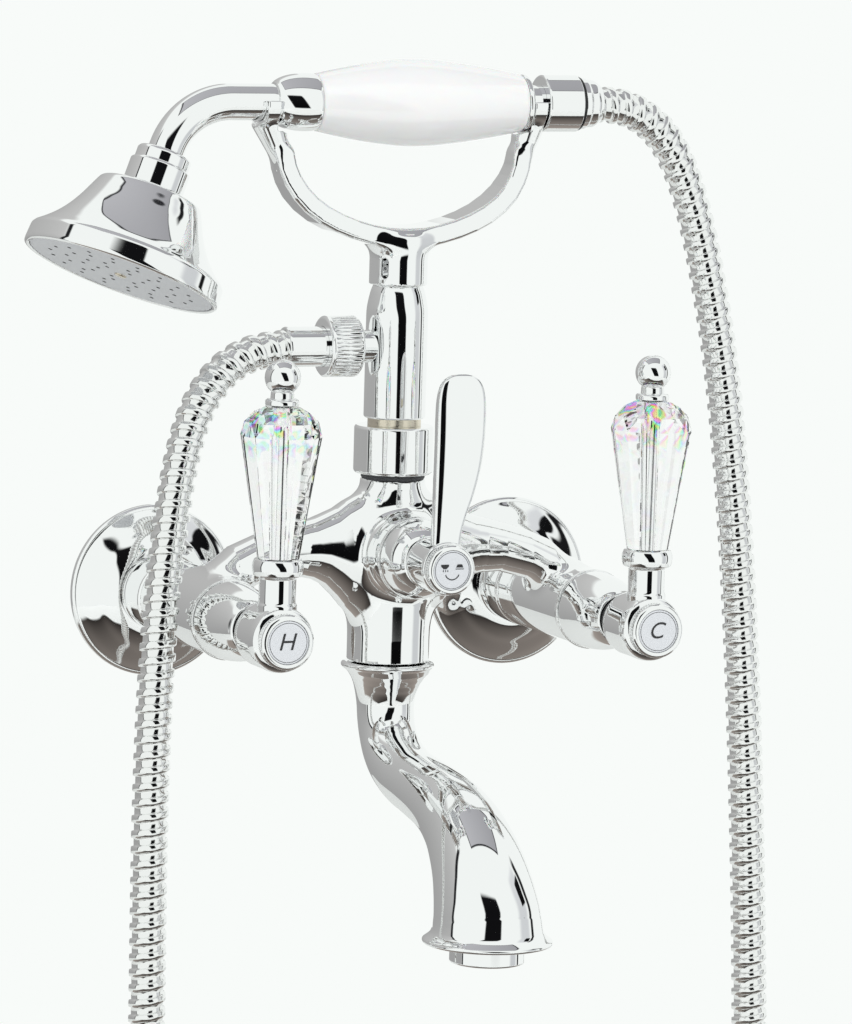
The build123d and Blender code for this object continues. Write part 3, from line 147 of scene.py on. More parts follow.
def make_materials():
    made = {}

    def finish(slot, name, colour, metallic, roughness, *surface, **sockets):
        """Surface is what grain takes: size and height in millimetres, lowest and highest roughness."""
        material, tree, shader = new_material(name, colour, metallic, roughness, **sockets)
        made[slot] = material
        return tree, shader, grain(tree, shader, *surface)

    # Chromium plate over polished brass: mirror-like, with the faint waviness of buffing
    finish("chrome", "chrome_plate_polished", "#F7F8F8", 1.0, 0.03, 9.0, 0.004, 0.015, 0.05)

    # Chromium plate on rolled steel strip: a little darker and softer than the castings
    finish("hose_chrome", "chrome_plate_strip", "#F3F4F3", 1.0, 0.06, 2.5, 0.006, 0.05, 0.13)

    # Nitrile rubber, moulded: dark grey, dull, with a fine tooth
    finish("seal_rubber", "nitrile_rubber_moulded", "#47484B", 0.0, 0.62, 0.6, 0.01, 0.5, 0.75)

    # Acetal, moulded black: slightly waxy shine
    finish("black_plastic", "acetal_moulded_black", "#121314", 0.0, 0.38, 0.8, 0.006, 0.3, 0.46)

    # Brass, turned and left bare: pale gold with fine turning lines
    finish("brass", "brass_turned", "#E0D8C6", 1.0, 0.2, 0.5, 0.004, 0.12, 0.3, (1, 1, 12))

    # Lead crystal, cut and polished: clear, with painted glints: small patches of rainbow colour are
    # painted into its base colour, full on the crown and faint lower down.
    # A patch is about 5 mm across, and the hue changes every 8 mm or so.
    patch_size, hue_size = 5.2632, 8.3333
    material, tree, shader = new_material("crystal_cut_polished", "#FEFEFF", 0.0, 0.0,
                                          Transmission_Weight=1.0, IOR=1.52)
    place = add_node(tree, "TexCoord").outputs["Object"]
    patches = add_node(tree, "TexNoise", Vector=place, Scale=1000 / patch_size, Detail=0.0)
    hues = add_node(tree, "TexNoise", {"noise_dimensions": "4D"}, Vector=place,
                    Scale=1000 / hue_size, W=4.0)
    hue = add_node(tree, "Math", {"operation": "MULTIPLY"}, _0=hues.outputs["Fac"], _1=5.0)
    hue = add_node(tree, "Math", {"operation": "FRACT"}, _0=hue.outputs[0])
    height = add_node(tree, "SeparateXYZ", Vector=place).outputs["Z"]
    crown = add_node(tree, "MapRange", Value=height, From_Min=66 * MM, From_Max=78 * MM,
                     To_Min=0.06, To_Max=1.0)
    patch = add_node(tree, "MapRange", Value=patches.outputs["Fac"], From_Min=0.53, From_Max=0.62,
                     To_Max=0.85)
    strength = add_node(tree, "Math", {"operation": "MULTIPLY"}, _0=patch.outputs["Result"],
                        _1=crown.outputs["Result"])
    # Painted glint colour: hue from one noise, strength from the patch noise and the crown's height
    painted_glint_colour = add_node(tree, "CombineColor", {"mode": "HSV"}, _0=hue.outputs[0],
                     _1=strength.outputs[0], _2=1.0)
    tree.links.new(painted_glint_colour.outputs["Color"], shader.inputs["Base Color"])
    made["crystal"] = material

    # Vitreous enamel on the badges: cool white, glassy, faintly uneven
    finish("badge_enamel", "enamel_fired_white", "#DADCE1", 0.0, 0.16, 3.0, 0.003, 0.12, 0.22,
           Coat_Weight=0.6)

    # Printed ink under the enamel's lacquer: near black and even
    finish("ink", "badge_ink", "#2A2A2C", 0.0, 0.4, 0.5, 0.001, 0.35, 0.45)

    # Porcelain, glazed: neutral white with a clear glaze over a slightly rippled body
    tree, shader, noise = finish(
        "porcelain", "porcelain_glazed", "#F1F0F1", 0.0, 0.09, 14.0, 0.02, 0.06, 0.13,
        Coat_Weight=0.5, Coat_Roughness=0.04, Subsurface_Weight=0.15, Subsurface_Scale=0.002)
    mix = add_node(tree, "Mix", {"data_type": "RGBA"}, Factor=noise,
                   _6=linear("#EFEEF0"), _7=linear("#F4F3F3"))
    tree.links.new(mix.outputs[2], shader.inputs["Base Color"])

    # Spray face: moulded ABS with a satin silver lacquer, pale and even
    finish("spray_plastic", "abs_satin_lacquered", "#CBCCD0", 0.1, 0.36, 5.0, 0.002, 0.32, 0.4)

    # Acetal aerator insert, moulded and left its natural grey: soft, slightly waxy
    finish("aerator_plastic", "acetal_moulded_grey", "#B9BBBD", 0.0, 0.45, 0.8, 0.006, 0.4, 0.55)

    # Stainless steel screws, turned: dull grey with fine lines
    finish("screw_steel", "stainless_turned", "#B7B8B9", 1.0, 0.28, 0.4, 0.004, 0.2, 0.36)
    return made


materials = make_materials()


# Building meshes

def add_piece(name, shells, body, slot, replaced=(), material=None, smooth=True, normals=None):
    """One object out of (points, faces) shells in millimetres, riding on a body."""
    points, faces = [], []
    for shell_points, shell_faces in shells:
        start = len(points)
        points.extend(shell_points)
        faces.extend([tuple(start + i for i in face) for face in shell_faces])
    mesh = bpy.data.meshes.new(name)
    mesh.from_pydata([(x * MM, y * MM, z * MM) for x, y, z in points], [], faces)
    mesh.polygons.foreach_set("use_smooth", [smooth] * len(mesh.polygons))
    mesh.update()
    if normals is not None:
        mesh.normals_split_custom_set_from_vertices(normals)
    piece = place_object(name, mesh)
    mesh.materials.append(material or materials[slot])
    if body:
        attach(piece, body)
    if replaced:
        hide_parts(*replaced)
    return piece


def traced(name, line):
    """The corners and faces that Blender makes of a curve or a text."""
    holder = place_object(name, line)
    bpy.context.view_layer.update()
    mesh = bpy.data.meshes.new_from_object(holder)
    corners = [tuple(v.co) for v in mesh.vertices]
    faces = [tuple(p.vertices) for p in mesh.polygons]
    bpy.data.objects.remove(holder)
    bpy.data.meshes.remove(mesh)
    return corners, faces


def resample(rows, steps):
    """Rows of values along a smooth curve, steps to each stretch."""
    flat = [np.array(row, float) for row in rows]
    ends = [2 * flat[0] - flat[1]] + flat + [2 * flat[-1] - flat[-2]]
    result = []
    for before, start, end, after in zip(ends, ends[1:], ends[2:], ends[3:]):
        for step in range(steps):
            t = step / steps
            square = (2 * before - 5 * start + 4 * end - after) * t ** 2
            cube = (3 * start - before - 3 * end + after) * t ** 3
            result.append(0.5 * (2 * start + (end - before) * t + square + cube))
    result.append(flat[-1])
    return result


def curve(points):
    """A smooth stretch of an outline through the points; its ends stay corners."""
    return [(*p, 0) for p in resample(points, CURVE_STEPS)]


def eased(outline, rounding):
    """Rounds an outline's corners and holds each flat stretch with points beside the rounding."""
    largest_share, held_at, long_stretch, corner_steps = 0.4, 1.25, 4, 4
    points = [np.array(p[:2], float) for p in outline]
    roundings = [p[2] if len(p) > 2 else rounding for p in outline]
    result = []
    for i, here in enumerate(points):
        if i in (0, len(points) - 1) or roundings[i] == 0:
            result.append(here)
            continue
        to_before, to_after = points[i - 1] - here, points[i + 1] - here
        length_before, length_after = np.linalg.norm(to_before), np.linalg.norm(to_after)
        reach = min(roundings[i], largest_share * length_before, largest_share * length_after)
        start, end = here + to_before / length_before * reach, here + to_after / length_after * reach
        if length_before > long_stretch * reach:
            result.append(here + to_before / length_before * reach * held_at)
        for step in range(corner_steps + 1):
            t = step / corner_steps
            result.append((1 - t) ** 2 * start + 2 * t * (1 - t) * here + t ** 2 * end)
        if length_after > long_stretch * reach:
            result.append(here + to_after / length_after * reach * held_at)
    return result


def ring_faces(rings, steps):
    """The faces between rings of points that follow each other."""
    faces = []
    for ring in range(rings - 1):
        near, far = ring * steps, (ring + 1) * steps
        for step in range(steps):
            following = (step + 1) % steps
            faces.append((near + step, near + following, far + following, far + step))
    return faces


def turned(origin, axis, outline, rounding=0.3, steps=72, flutes=None):
    """A shell turned round an axis from (radius, distance) points; flutes is (count, depth, start, end)."""
    origin, axis = Vector(origin), Vector(axis).normalized()
    side = axis.orthogonal().normalized()
    other = axis.cross(side)
    rings = eased(outline, rounding)
    count, depth, low, high = flutes or (0, 0, 0, 0)
    steps = count * FLUTE_STEPS or steps
    points = []
    for radius, along in rings:
        groove = depth if low < along < high else 0
        for step in range(steps):
            angle = 2 * pi * step / steps
            r = radius - groove * (0.5 + 0.5 * cos(count * angle)) ** 2
            points.append(tuple(origin + axis * along + (side * cos(angle) + other * sin(angle)) * r))
    return points, ring_faces(len(rings), steps)


def forward(x, z, outline, **options):
    """Turned round an axis that comes straight out from the wall; distances are depths."""
    return turned((x, 0, z), (0, -1, 0), outline, **options)


def upright(x, depth, outline, **options):
    """Turned round an upright axis; distances are heights."""
    return turned((x, -depth, 0), (0, 0, 1), outline, **options)


def level(z, outline, **options):
    """Turned round an axis from side to side through the column; distances are x."""
    return turned((0, -COLUMN_DEPTH, z), (1, 0, 0), outline, **options)


def lofted(rings, across, steps=72, capped=True):
    """A shell through (centre, direction, radius) or (centre, direction, width, thickness, power) rings."""
    points = []
    across = Vector(across)
    for ring in rings:
        centre, direction = Vector(ring[0]), Vector(ring[1]).normalized()
        side = (across - direction * across.dot(direction)).normalized()
        other = direction.cross(side)
        wide = ring[2]
        thick = ring[3] if len(ring) > 3 else wide
        power = ring[4] if len(ring) > 4 else 2.0
        for step in range(steps):
            angle = 2 * pi * step / steps
            c, s = cos(angle), sin(angle)
            c = abs(c) ** (2 / power) * (1 if c >= 0 else -1)
            s = abs(s) ** (2 / power) * (1 if s >= 0 else -1)
            points.append(tuple(centre + side * wide * c + other * thick * s))
    faces = ring_faces(len(rings), steps)
    if capped:
        faces.append(tuple(reversed(range(steps))))
        faces.append(tuple(range((len(rings) - 1) * steps, len(rings) * steps)))
    return points, faces


# Castings: a surface pulled over a distance field, so that arms and bosses flow into each other

def merge(first, second, blend):
    """The nearer of two distances, with a fillet of about the blend's size where they meet."""
    share = np.clip(0.5 + 0.5 * (second - first) / blend, 0, 1)
    return second + (first - second) * share - blend * share * (1 - share)


def carve(first, second, blend):
    """The first shape without the second, with the edge eased by the blend."""
    return -merge(-first, second, blend)


def to_bar(points, start, end, start_radius, end_radius, squash=(1, 1, 1)):
    """Distance to a round bar between two points, with its own radius at each end."""
    squash = np.array(squash)
    start, end, points = np.array(start) / squash, np.array(end) / squash, points / squash
    way = end - start
    share = np.clip((points - start) @ way / (way @ way), 0, 1)
    off = np.linalg.norm(points - start - share[:, None] * way, axis=1)
    return off - (start_radius + (end_radius - start_radius) * share)


def to_drum(points, start, end, radius, edge):
    """Distance to a flat-ended drum with its edges eased; radius is a number or an array."""
    start, end = np.array(start, float), np.array(end, float)
    way = end - start
    length = np.linalg.norm(way)
    way = way / length
    along = (points - start) @ way
    off = np.linalg.norm(points - start - along[:, None] * way, axis=1)
    out = off - radius + edge
    past = np.abs(along - length / 2) - length / 2 + edge
    return np.minimum(np.maximum(out, past), 0) + np.hypot(np.maximum(out, 0), np.maximum(past, 0)) - edge


def pulled_surface(distance, low, high, cell):
    """Points, faces and normals of the surface where the distance is zero."""
    low, high = np.array(low, float), np.array(high, float)
    counts = np.ceil((high - low) / cell).astype(int) + 1
    axes = [low[i] + cell * np.arange(counts[i]) for i in range(3)]
    grid = np.stack(np.meshgrid(*axes, indexing="ij"), -1).reshape(-1, 3)
    inside = (distance(grid) < 0).reshape(counts)
    cells = counts - 1
    total = np.zeros(cells, int)
    for i, j, k in product((0, 1), repeat=3):
        total += inside[i:i + cells[0], j:j + cells[1], k:k + cells[2]]
    mixed = (total > 0) & (total < 8)
    ids = np.full(cells, -1)
    ids[mixed] = np.arange(mixed.sum())
    points = low + (np.argwhere(mixed) + 0.5) * cell
    quads = []
    for axis in range(3):
        first, second = [(axis + 1) % 3, (axis + 2) % 3]
        here = np.moveaxis(inside, (axis, first, second), (0, 1, 2))
        owners = np.moveaxis(ids, (axis, first, second), (0, 1, 2))
        a, b = here[:-1, 1:-1, 1:-1], here[1:, 1:-1, 1:-1]
        for crossing, order in ((a & ~b, (0, 1, 2, 3)), (~a & b, (3, 2, 1, 0))):
            i, j, k = np.nonzero(crossing)
            corners = [owners[i, j, k], owners[i, j + 1, k], owners[i, j + 1, k + 1], owners[i, j, k + 1]]
            quads.append(np.stack(corners, 1)[:, order])
    quads = np.concatenate(quads)

    def slope(at):
        step = 0.02
        return np.stack([(distance(at + d) - distance(at - d)) / (2 * step) for d in np.eye(3) * step], 1)

    def settle(at):
        gradient = slope(at)
        return at - gradient * (distance(at) / np.maximum((gradient ** 2).sum(1), 1e-6))[:, None]

    points = settle(settle(points))
    pairs = np.concatenate([quads[:, [0, 1]], quads[:, [1, 2]], quads[:, [2, 3]], quads[:, [3, 0]]])
    smoothing_passes, kept, drawn = 4, 0.4, 0.6
    for _ in range(smoothing_passes):
        sums = np.zeros_like(points)
        for column in range(3):
            sums[:, column] = (np.bincount(pairs[:, 0], points[pairs[:, 1], column], len(points))
                               + np.bincount(pairs[:, 1], points[pairs[:, 0], column], len(points)))
        number = np.bincount(pairs.ravel(), minlength=len(points))
        points = settle(points * kept + drawn * sums / number[:, None])
    points = settle(points)
    normals = slope(points)
    normals /= np.maximum(np.linalg.norm(normals, axis=1), 1e-9)[:, None]
    return points.tolist(), quads.tolist(), normals.tolist()


def add_casting(name, distance, low, high, cell, replaced):
    """A casting of the mixer from its distance field, over a grid from low to high."""
    points, faces, normals = pulled_surface(distance, low, high, cell)
    add_piece(name, [(points, faces)], "mixer", "chrome", (replaced,), normals=normals)


# The hose: one ribbed tube from the column's outlet, down in a loop and up to the hand shower

def hose_path():
    """The hose's way as close points on a smooth curve along its listed route."""
    start = (-29.2, COLUMN_DEPTH, OUTLET_HEIGHT)
    end = (67.5, COLUMN_DEPTH, HANDSET_HEIGHT)
    mixer_side = [
        (-52.5, 61.5, 100.7), (-67.5, 61.5, 95.2), (-79.0, 62.5, 83.3), (-87.0, 65.5, 66.0),
        (-93.5, 70.0, 38.0), (-99.5, 75.5, 0.0), (-103.0, 79.5, -60.0), (-102.5, 80.0, -145.0),
        (-101.0, 78.5, -238.0), (-97.0, 76.0, -328.0), (-76.5, 73.5, -404.0), (-39.5, 71.5, -457.5),
        (8.0, 70.6, -480.0),
    ]
    handset_side = [
        (87.2, 61.5, 193.8), (98.6, 61.5, 190.4), (108.7, 61.5, 183.0), (116.4, 61.5, 171.6),
        (123.2, 61.5, 155.0), (130.2, 61.5, 130.0), (139.2, 61.5, 87.0), (147.4, 61.5, 22.0),
        (153.6, 61.5, -50.0), (159.5, 61.5, -145.0), (162.0, 63.0, -238.0), (157.0, 65.5, -328.0),
        (136.5, 67.5, -404.0), (99.5, 69.5, -457.5), (52.0, 70.6, -480.0),
    ]
    route = [start] + mixer_side + handset_side[::-1] + [end]
    line = bpy.data.curves.new("hose_route", "CURVE")
    line.dimensions = "3D"
    spline = line.splines.new("NURBS")
    spline.points.add(len(route) - 1)
    for point, (x, depth, z) in zip(spline.points, route):
        point.co = (x * MM, -depth * MM, z * MM, 1)
    spline.order_u = 3
    spline.use_endpoint_u = True
    line.resolution_u = 40
    path = np.array(traced("hose_route", line)[0]) / MM
    steps_along = np.linalg.norm(np.diff(path, axis=0), axis=1)
    return path[np.concatenate([[True], steps_along > 1e-6])]


def wound_strip(path, distances):
    """A crimped strip wound as a helix round the path; distances are those of its points from its start."""
    length = distances[-1]
    ribs = round(length / STRIP_PITCH)
    # The strip's section: share of the pitch, and radius
    profile = [(0.0, 6.08), (0.03, 6.82), (0.07, 7.0), (0.26, 7.06), (0.45, 7.0), (0.49, 6.82),
               (0.52, 6.08), (0.56, 6.0), (0.76, 6.04), (0.96, 6.0)]
    steps, look_ahead = 40, 2
    rows = np.array([rib + along for rib in range(ribs) for along, _ in profile]) * length / ribs
    radii = np.array([radius for _ in range(ribs) for _, radius in profile])
    angles = 2 * pi * np.arange(steps) / steps
    at = np.clip(rows[:, None] + angles[None, :] / (2 * pi) * length / ribs, 0, length)

    def on_path(distance):
        return np.stack([np.interp(distance, distances, path[:, i]) for i in range(3)], -1)

    ahead = on_path(np.clip(at + look_ahead, 0, length)) - on_path(np.clip(at - look_ahead, 0, length))
    ahead /= np.linalg.norm(ahead, axis=-1, keepdims=True)
    side = np.array([0, 1.0, 0]) - ahead * ahead[..., 1:2]
    side /= np.linalg.norm(side, axis=-1, keepdims=True)
    other = np.cross(ahead, side)
    out = side * np.cos(angles)[None, :, None] + other * np.sin(angles)[None, :, None]
    points = on_path(at) + out * radii[:, None, None]
    faces = []
    for row in range(len(rows) - 1):
        for step in range(steps):
            low, high = row * steps + step, (row + 1) * steps + step
            if step < steps - 1:
                faces.append((low, low + 1, high + 1, high))
            elif row + len(profile) + 1 < len(rows):
                faces.append((low, (row + len(profile)) * steps, (row + len(profile) + 1) * steps, high))
    return points.reshape(-1, 3).tolist(), faces


def ribbed_hose(fittings):
    path = hose_path()
    distances = np.concatenate([[0], np.cumsum(np.linalg.norm(np.diff(path, axis=0), axis=1))])
    hose = add_piece("shower_hose", [wound_strip(path, distances)], None, "hose_chrome",
                     ("hose_mixer_side", "hose_handset_side"))
    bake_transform(hose)


# Fittings on the hose, then the hose itself

def hose_fittings():
    pieces = []
    for name, height, body, slot, node, flutes, outline in (
            ("hose_nut_fluted", OUTLET_HEIGHT, "mixer", "chrome", "hose_nut", (44, 0.45, -28.6, -18.6), [
                (7.8, -30.6), (10.9, -30.6, 0.5), (11.75, -29.8), (11.75, -28.8, 0), (11.7, -28.5, 0),
                (11.7, -18.7, 0), (11.75, -18.4, 0), (11.75, -17.8), (10.9, -17.0, 0.5), (6.4, -17.0)]),
            ("hose_crimp_sleeve", OUTLET_HEIGHT, "mixer", "chrome", "hose_ferrule", None, [
                (6.3, -45.4), (6.5, -46.2), (7.45, -46.2), (7.7, -45.6), (7.7, -28.0)]),
            ("hose_connector_sleeve", HANDSET_HEIGHT, "hand_shower", "chrome", "hose_connector", None, [
                (7.0, 56.95), (10.5, 56.95, 0.4), (11.0, 57.5), (11.0, 71.4, 0.3), (9.0, 71.4)]),
            ("hose_swivel_seal", HANDSET_HEIGHT, "hand_shower", "black_plastic", "hose_swivel_ring", None, [
                (9.0, 71.3), (10.4, 71.3), (10.5, 72.0), (10.4, 72.8), (9.0, 72.8)]),
            ("hose_swivel_cone", HANDSET_HEIGHT, "hand_shower", "chrome", "hose_swivel", None, [
                (8.2, 72.7), (9.9, 72.7, 0.4), (9.9, 75.0, 0.4), (9.25, 75.6, 0.3), (9.2, 78.6, 0.8),
                (7.5, 81.3, 0.5), (6.3, 81.3)])):
        pieces.append(add_piece(name, [level(height, outline, flutes=flutes)], body, slot, (node,)))
    return pieces + [frame["nodes"]["outlet_washer"], frame["nodes"]["handset_washer"]]


place_camera()
ribbed_hose(hose_fittings())


# Wall side: roses, union nuts and the casting

def wall_side():
    back = curve([(14.6, 9.4), (20.4, 7.6), (24.2, 5.6), (28.0, 3.4), (32.1, 1.4)])
    rim = [(32.3, 0.0, 0.2), (33.5, 0.0, 0.3), (33.5, 1.9, 0.5), (32.6, 2.7, 0.4)]
    front = curve([(32.0, 2.75), (29.2, 4.6), (25.2, 6.9), (21.7, 8.9), (17.4, 10.6), (14.4, 11.0)])
    rose = [(13.4, 9.6, 0)] + back + rim + front + [(13.4, 11.0, 0.2)]
    nut = [(13.4, 11.3), (14.5, 11.3, 0.4), (15.2, 12.0, 0.5), (15.2, 25.9, 0.5), (14.5, 26.7, 0.4),
           (10.6, 26.7)]
    for side, (x, _) in SIDES.items():
        add_piece("wall_rose_dish_" + side, [forward(x, 0, rose, steps=96)], "mixer", "chrome",
                  ("wall_rose_" + side,))
    add_piece("union_nuts_turned", [forward(x, 0, nut) for x, _ in SIDES.values()], "mixer", "chrome",
              ("union_nuts",))


def casting_distance(points):
    """Column foot, two arms, diverter boss and valve ends, flowing into each other."""
    x, depth, z = np.abs(points[:, 0]), -points[:, 1], points[:, 2]
    body_radius = np.interp(z, [-21, -12, 0, 14, 24, 33, 41, 46, 49.5],
                            [15.9, 15.9, 16.2, 16.6, 15.6, 13.2, 12.1, 11.9, 12.3])
    field = to_drum(points, (0, -COLUMN_DEPTH, -21), (0, -COLUMN_DEPTH, 49.5), body_radius, 0.5)
    at = [0, 8, 14, 20, 24, 29, 33, 37, 45, 56, 66, 75, 90]
    middle = np.interp(x, at, [20.6, 20.6, 20.6, 20.7, 21.6, 22.9, 23.1, 23.0, 22.2, 19.2, 14.0, 5.5, 0])
    tall = np.interp(x, at, [25, 25, 23.8, 20.6, 17.0, 13.6, 11.8, 10.9, 9.7, 9.6, 10.6, 11.5, 11.5])
    deep = np.interp(x, at, [14, 14, 13.4, 12.9, 12.4, 11.6, 11.1, 10.6, 10.2, 10.6, 11.8, 13.0, 13.0])
    ellipse = np.hypot((z - middle) / tall, (depth - COLUMN_DEPTH) / deep)
    arm = np.maximum((ellipse - 1) * np.minimum(tall, deep), x - 76)
    field = merge(field, arm, 5.0)
    boss = to_drum(points, (0, -COLUMN_DEPTH, DIVERTER_HEIGHT), (0, -88.0, DIVERTER_HEIGHT), 15.4, 0.4)
    field = merge(field, boss, 5.0)
    mirrored = np.stack([x, -depth, z], 1)
    valve_end = to_drum(mirrored, (HALF_SPACING, -28.0, 0), (HALF_SPACING, -86.2, 0), 15.0, 0.6)
    return merge(field, valve_end, 6.0)


def body_casting():
    bead = [(14.6, 84.3), (15.35, 84.3, 0.3), (15.6, 85.3, 0.5), (15.35, 86.3, 0.3), (14.0, 86.3)]
    beads = [forward(x, 0, bead) for x, _ in SIDES.values()]
    beads.append(forward(0, DIVERTER_HEIGHT, [
        (15.0, 86.2), (15.75, 86.2, 0.3), (16.0, 87.2, 0.5), (15.75, 88.2, 0.3), (14.0, 88.2)]))
    spigots = [forward(x, 0, [(0, 22.8), (10.4, 22.8), (10.4, 30.0)]) for x, _ in SIDES.values()]
    add_casting("mixer_casting", casting_distance, (-92, -90, -23), (92, -26, 51), 1.0, "mixer_body")
    add_piece("casting_beads", beads + spigots, "mixer", "chrome")


wall_side()
body_casting()


# Taps: shroud, a black collar and washer as painted shade by the spindle, hub, stem, cut crystal, finial,
# cap and badge

def shroud_shell(x, z, back, length, back_radius, front_radius, hole):
    """A cover that narrows like a bell towards its front."""
    outline = [(back_radius - 1.6, back + 0.5), (back_radius - 0.5, back, 0.3)] + curve([
        (back_radius - (back_radius - front_radius) * narrowed, back + length * along)
        for along, narrowed in [(0.02, 0.0), (0.3, 0.07), (0.6, 0.3), (0.86, 0.68), (1.0, 1.0)]]) + [
        (front_radius - 0.7, back + length + 0.2, 0.2), (hole, back + length + 0.2, 0.2),
        (hole, back + length - 3)]
    return forward(x, z, outline, rounding=0.4)


def cut_crystal(x):
    """Twelve tapering panels up to a girdle, then a crown of kite and star facets, bored for the rod."""
    rows = [(30.1, 8.0, 0.0), (75.4, 15.3, 0.0), (80.6, 13.9, 0.5), (84.0, 10.6, 0.0), (86.1, 6.6, 0.5)]
    sides, bore_sides, bore_radius = 12, 24, 2.3
    girdle, upper, kite, top = [sides * row for row in range(1, 5)]
    points, faces = [], []
    for height, radius, shift in rows:
        for side in range(sides):
            angle = 2 * pi * (side + shift) / sides
            points.append((x + radius * cos(angle), -HANDLE_DEPTH + radius * sin(angle), height))
    for side in range(sides):
        before, following = (side - 1) % sides, (side + 1) % sides
        faces += [
            (side, following, girdle + following, girdle + side),
            (girdle + side, girdle + following, upper + side),
            (girdle + following, upper + following, upper + side),
            (upper + before, upper + side, kite + side),
            (upper + side, kite + following, kite + side),
            (kite + side, kite + following, top + side),
            (kite + following, top + following, top + side)]
    bore = len(points)
    bore_top = bore + bore_sides
    for height in (rows[0][0], rows[-1][0]):
        for side in range(bore_sides):
            angle = 2 * pi * side / bore_sides
            points.append((x + bore_radius * cos(angle), -HANDLE_DEPTH + bore_radius * sin(angle), height))
    for side in range(bore_sides):
        following = (side + 1) % bore_sides
        faces.append((bore + following, bore + side, bore_top + side, bore_top + following))
    for side in range(sides):
        following = (side + 1) % sides
        near, middle, far, past = [(2 * side + i) % bore_sides for i in range(4)]
        faces.append((following, side, bore + near, bore + middle, bore + far))
        faces.append((top + side, top + following, bore_top + past, bore_top + far, bore_top + middle))
    return points, faces


def flat_mark(x, z, depth, outlines):
    """Thin printed shapes on a badge, from outlines of (across, up) in millimetres."""
    points, faces = [], []
    for outline in outlines:
        start = len(points)
        points.extend((x + across, -depth, z + up) for across, up in outline)
        faces.append(tuple(range(start, start + len(outline))))
    return points, faces


def letter(x, z, depth, character, height):
    """A plain slanted letter on a badge."""
    text = bpy.data.curves.new("letter", "FONT")
    text.body = character
    text.shear = 0.25
    text.align_x, text.align_y = "CENTER", "CENTER"
    corners, faces = traced("letter", text)
    ups = [c[1] for c in corners]
    scale = height / (max(ups) - min(ups))
    middle_x = (max(c[0] for c in corners) + min(c[0] for c in corners)) / 2
    middle_z = (max(ups) + min(ups)) / 2
    return [(x + (c[0] - middle_x) * scale, -depth, z + (c[1] - middle_z) * scale) for c in corners], faces


def badge_ring(x, z, depth, radius):
    """A fine printed line round a badge."""
    inner, outer, back = radius - 0.09, radius + 0.09, depth - 0.02
    return forward(x, z, [(inner, back, 0), (inner, depth, 0), (outer, depth, 0), (outer, back, 0)])


def cap_shell(x, z, back, front, radius, plate):
    """A milled cap round a badge's plate."""
    rim = radius + 0.05
    return forward(x, z, [
        (radius - 2, back - 0.2), (radius - 0.35, back, 0.2), (radius, back + 0.4, 0.2),
        (radius, front - 1.4, 0.1), (rim, front - 1.3, 0.1), (rim, front - 0.7, 0.4),
        (radius - 0.7, front, 0.4), (plate + 0.15, front, 0.15), (plate + 0.05, front - 0.5)],
        flutes=(60, 0.65, back + 0.5, front - 1.45))


def tap(side, x, body):
    shroud = shroud_shell(x, 0, 86.3, 26.6, 15.0, 9.7, 8.3)
    add_piece("tap_shroud_" + side, [shroud], "mixer", "chrome", ("valve_shroud_" + side,))
    # Painted shade: the black collar and the black washer round the hub's neck fill the dark gap between
    # shroud and hub, standing in for the shade there
    collar = forward(x, 0, [(8.2, 111.0), (8.2, 114.2, 0.3), (6.2, 114.4, 0.3), (6.2, 116.0)])
    add_piece("painted_shade_collar_" + side, [collar], "mixer", "black_plastic")
    hub = forward(x, 0, [
        (6.0, 114.5), (7.4, 114.8), (7.4, 119.8, 0.5), (9.6, 120.6, 0.8), (11.9, 121.4, 1.2),
        (12.5, 124.6, 2.0), (12.5, 138.4, 2.0), (11.9, 141.4, 1.2), (10.0, 142.2, 0.5), (8.0, 142.2)])
    add_piece("tap_hub_" + side, [hub], body, "chrome", ("handle_hub_" + side,))
    washer = forward(x, 0, [
        (7.45, 114.6), (8.9, 114.6, 0.4), (9.3, 115.2), (9.3, 119.9), (8.9, 120.5, 0.4), (7.45, 120.5)])
    add_piece("painted_shade_washer_" + side, [washer], body, "black_plastic")
    stem = upright(x, HANDLE_DEPTH, [
        (0, 8.0), (7.4, 8.0), (7.4, 12.6, 0.5), (6.9, 13.4, 0.4), (6.9, 22.6, 0.5), (7.9, 23.1, 0.2),
        (9.0, 23.4, 0.7), (9.6, 25.4, 1.1), (9.6, 27.6, 1.1), (8.9, 29.6, 0.7), (7.6, 30.1, 0.3),
        (2.4, 30.1)])
    add_piece("tap_stem_" + side, [stem], body, "chrome", ("handle_stem_" + side,))
    add_piece("cut_crystal_" + side, [cut_crystal(x)], body, "crystal", ("handle_crystal_" + side,),
              smooth=False)
    ball_radius, ball_height = 6.7, 96.9
    ball = [(ball_radius * cos(radians(a)), ball_height + ball_radius * sin(radians(a)), 0)
            for a in range(-52, 90, 5)] + [(0.0, 103.6, 0)]
    finial = upright(x, HANDLE_DEPTH, [
        (0, 24.6), (2.2, 24.6), (2.2, 86.0), (5.7, 86.15, 0.4), (6.3, 86.8, 0.4), (6.3, 88.3, 0.4),
        (5.7, 89.0, 0.4), (4.4, 89.1, 0.2), (4.3, 91.3, 0.3)] + ball)
    add_piece("tap_finial_" + side, [finial], body, "chrome", ("handle_finial_" + side,))
    cap = cap_shell(x, 0, 142.2, 146.8, 10.3, 8.1)
    add_piece("milled_cap_" + side, [cap], body, "chrome", ("index_cap_" + side,))
    badge = forward(x, 0, [(0, 145.9), (8.1, 145.9, 0.1), (8.1, 146.55, 0.25), (7.6, 146.7, 0.2),
                           (0, 146.75)])
    add_piece("enamel_badge_" + side, [badge], body, "badge_enamel", ("index_badge_" + side,))
    character = "H" if side == "left" else "C"
    print_on_badge = [letter(x, 0.4, 146.82, character, 6.2), badge_ring(x, 0, 146.76, 7.35)]
    add_piece("badge_letter_" + side, print_on_badge, body, "badge_enamel", material=materials["ink"],
              smooth=False)


for side, (x, body) in SIDES.items():
    tap(side, x, body)


# Diverter: shroud, hub, paddle, cap and badge

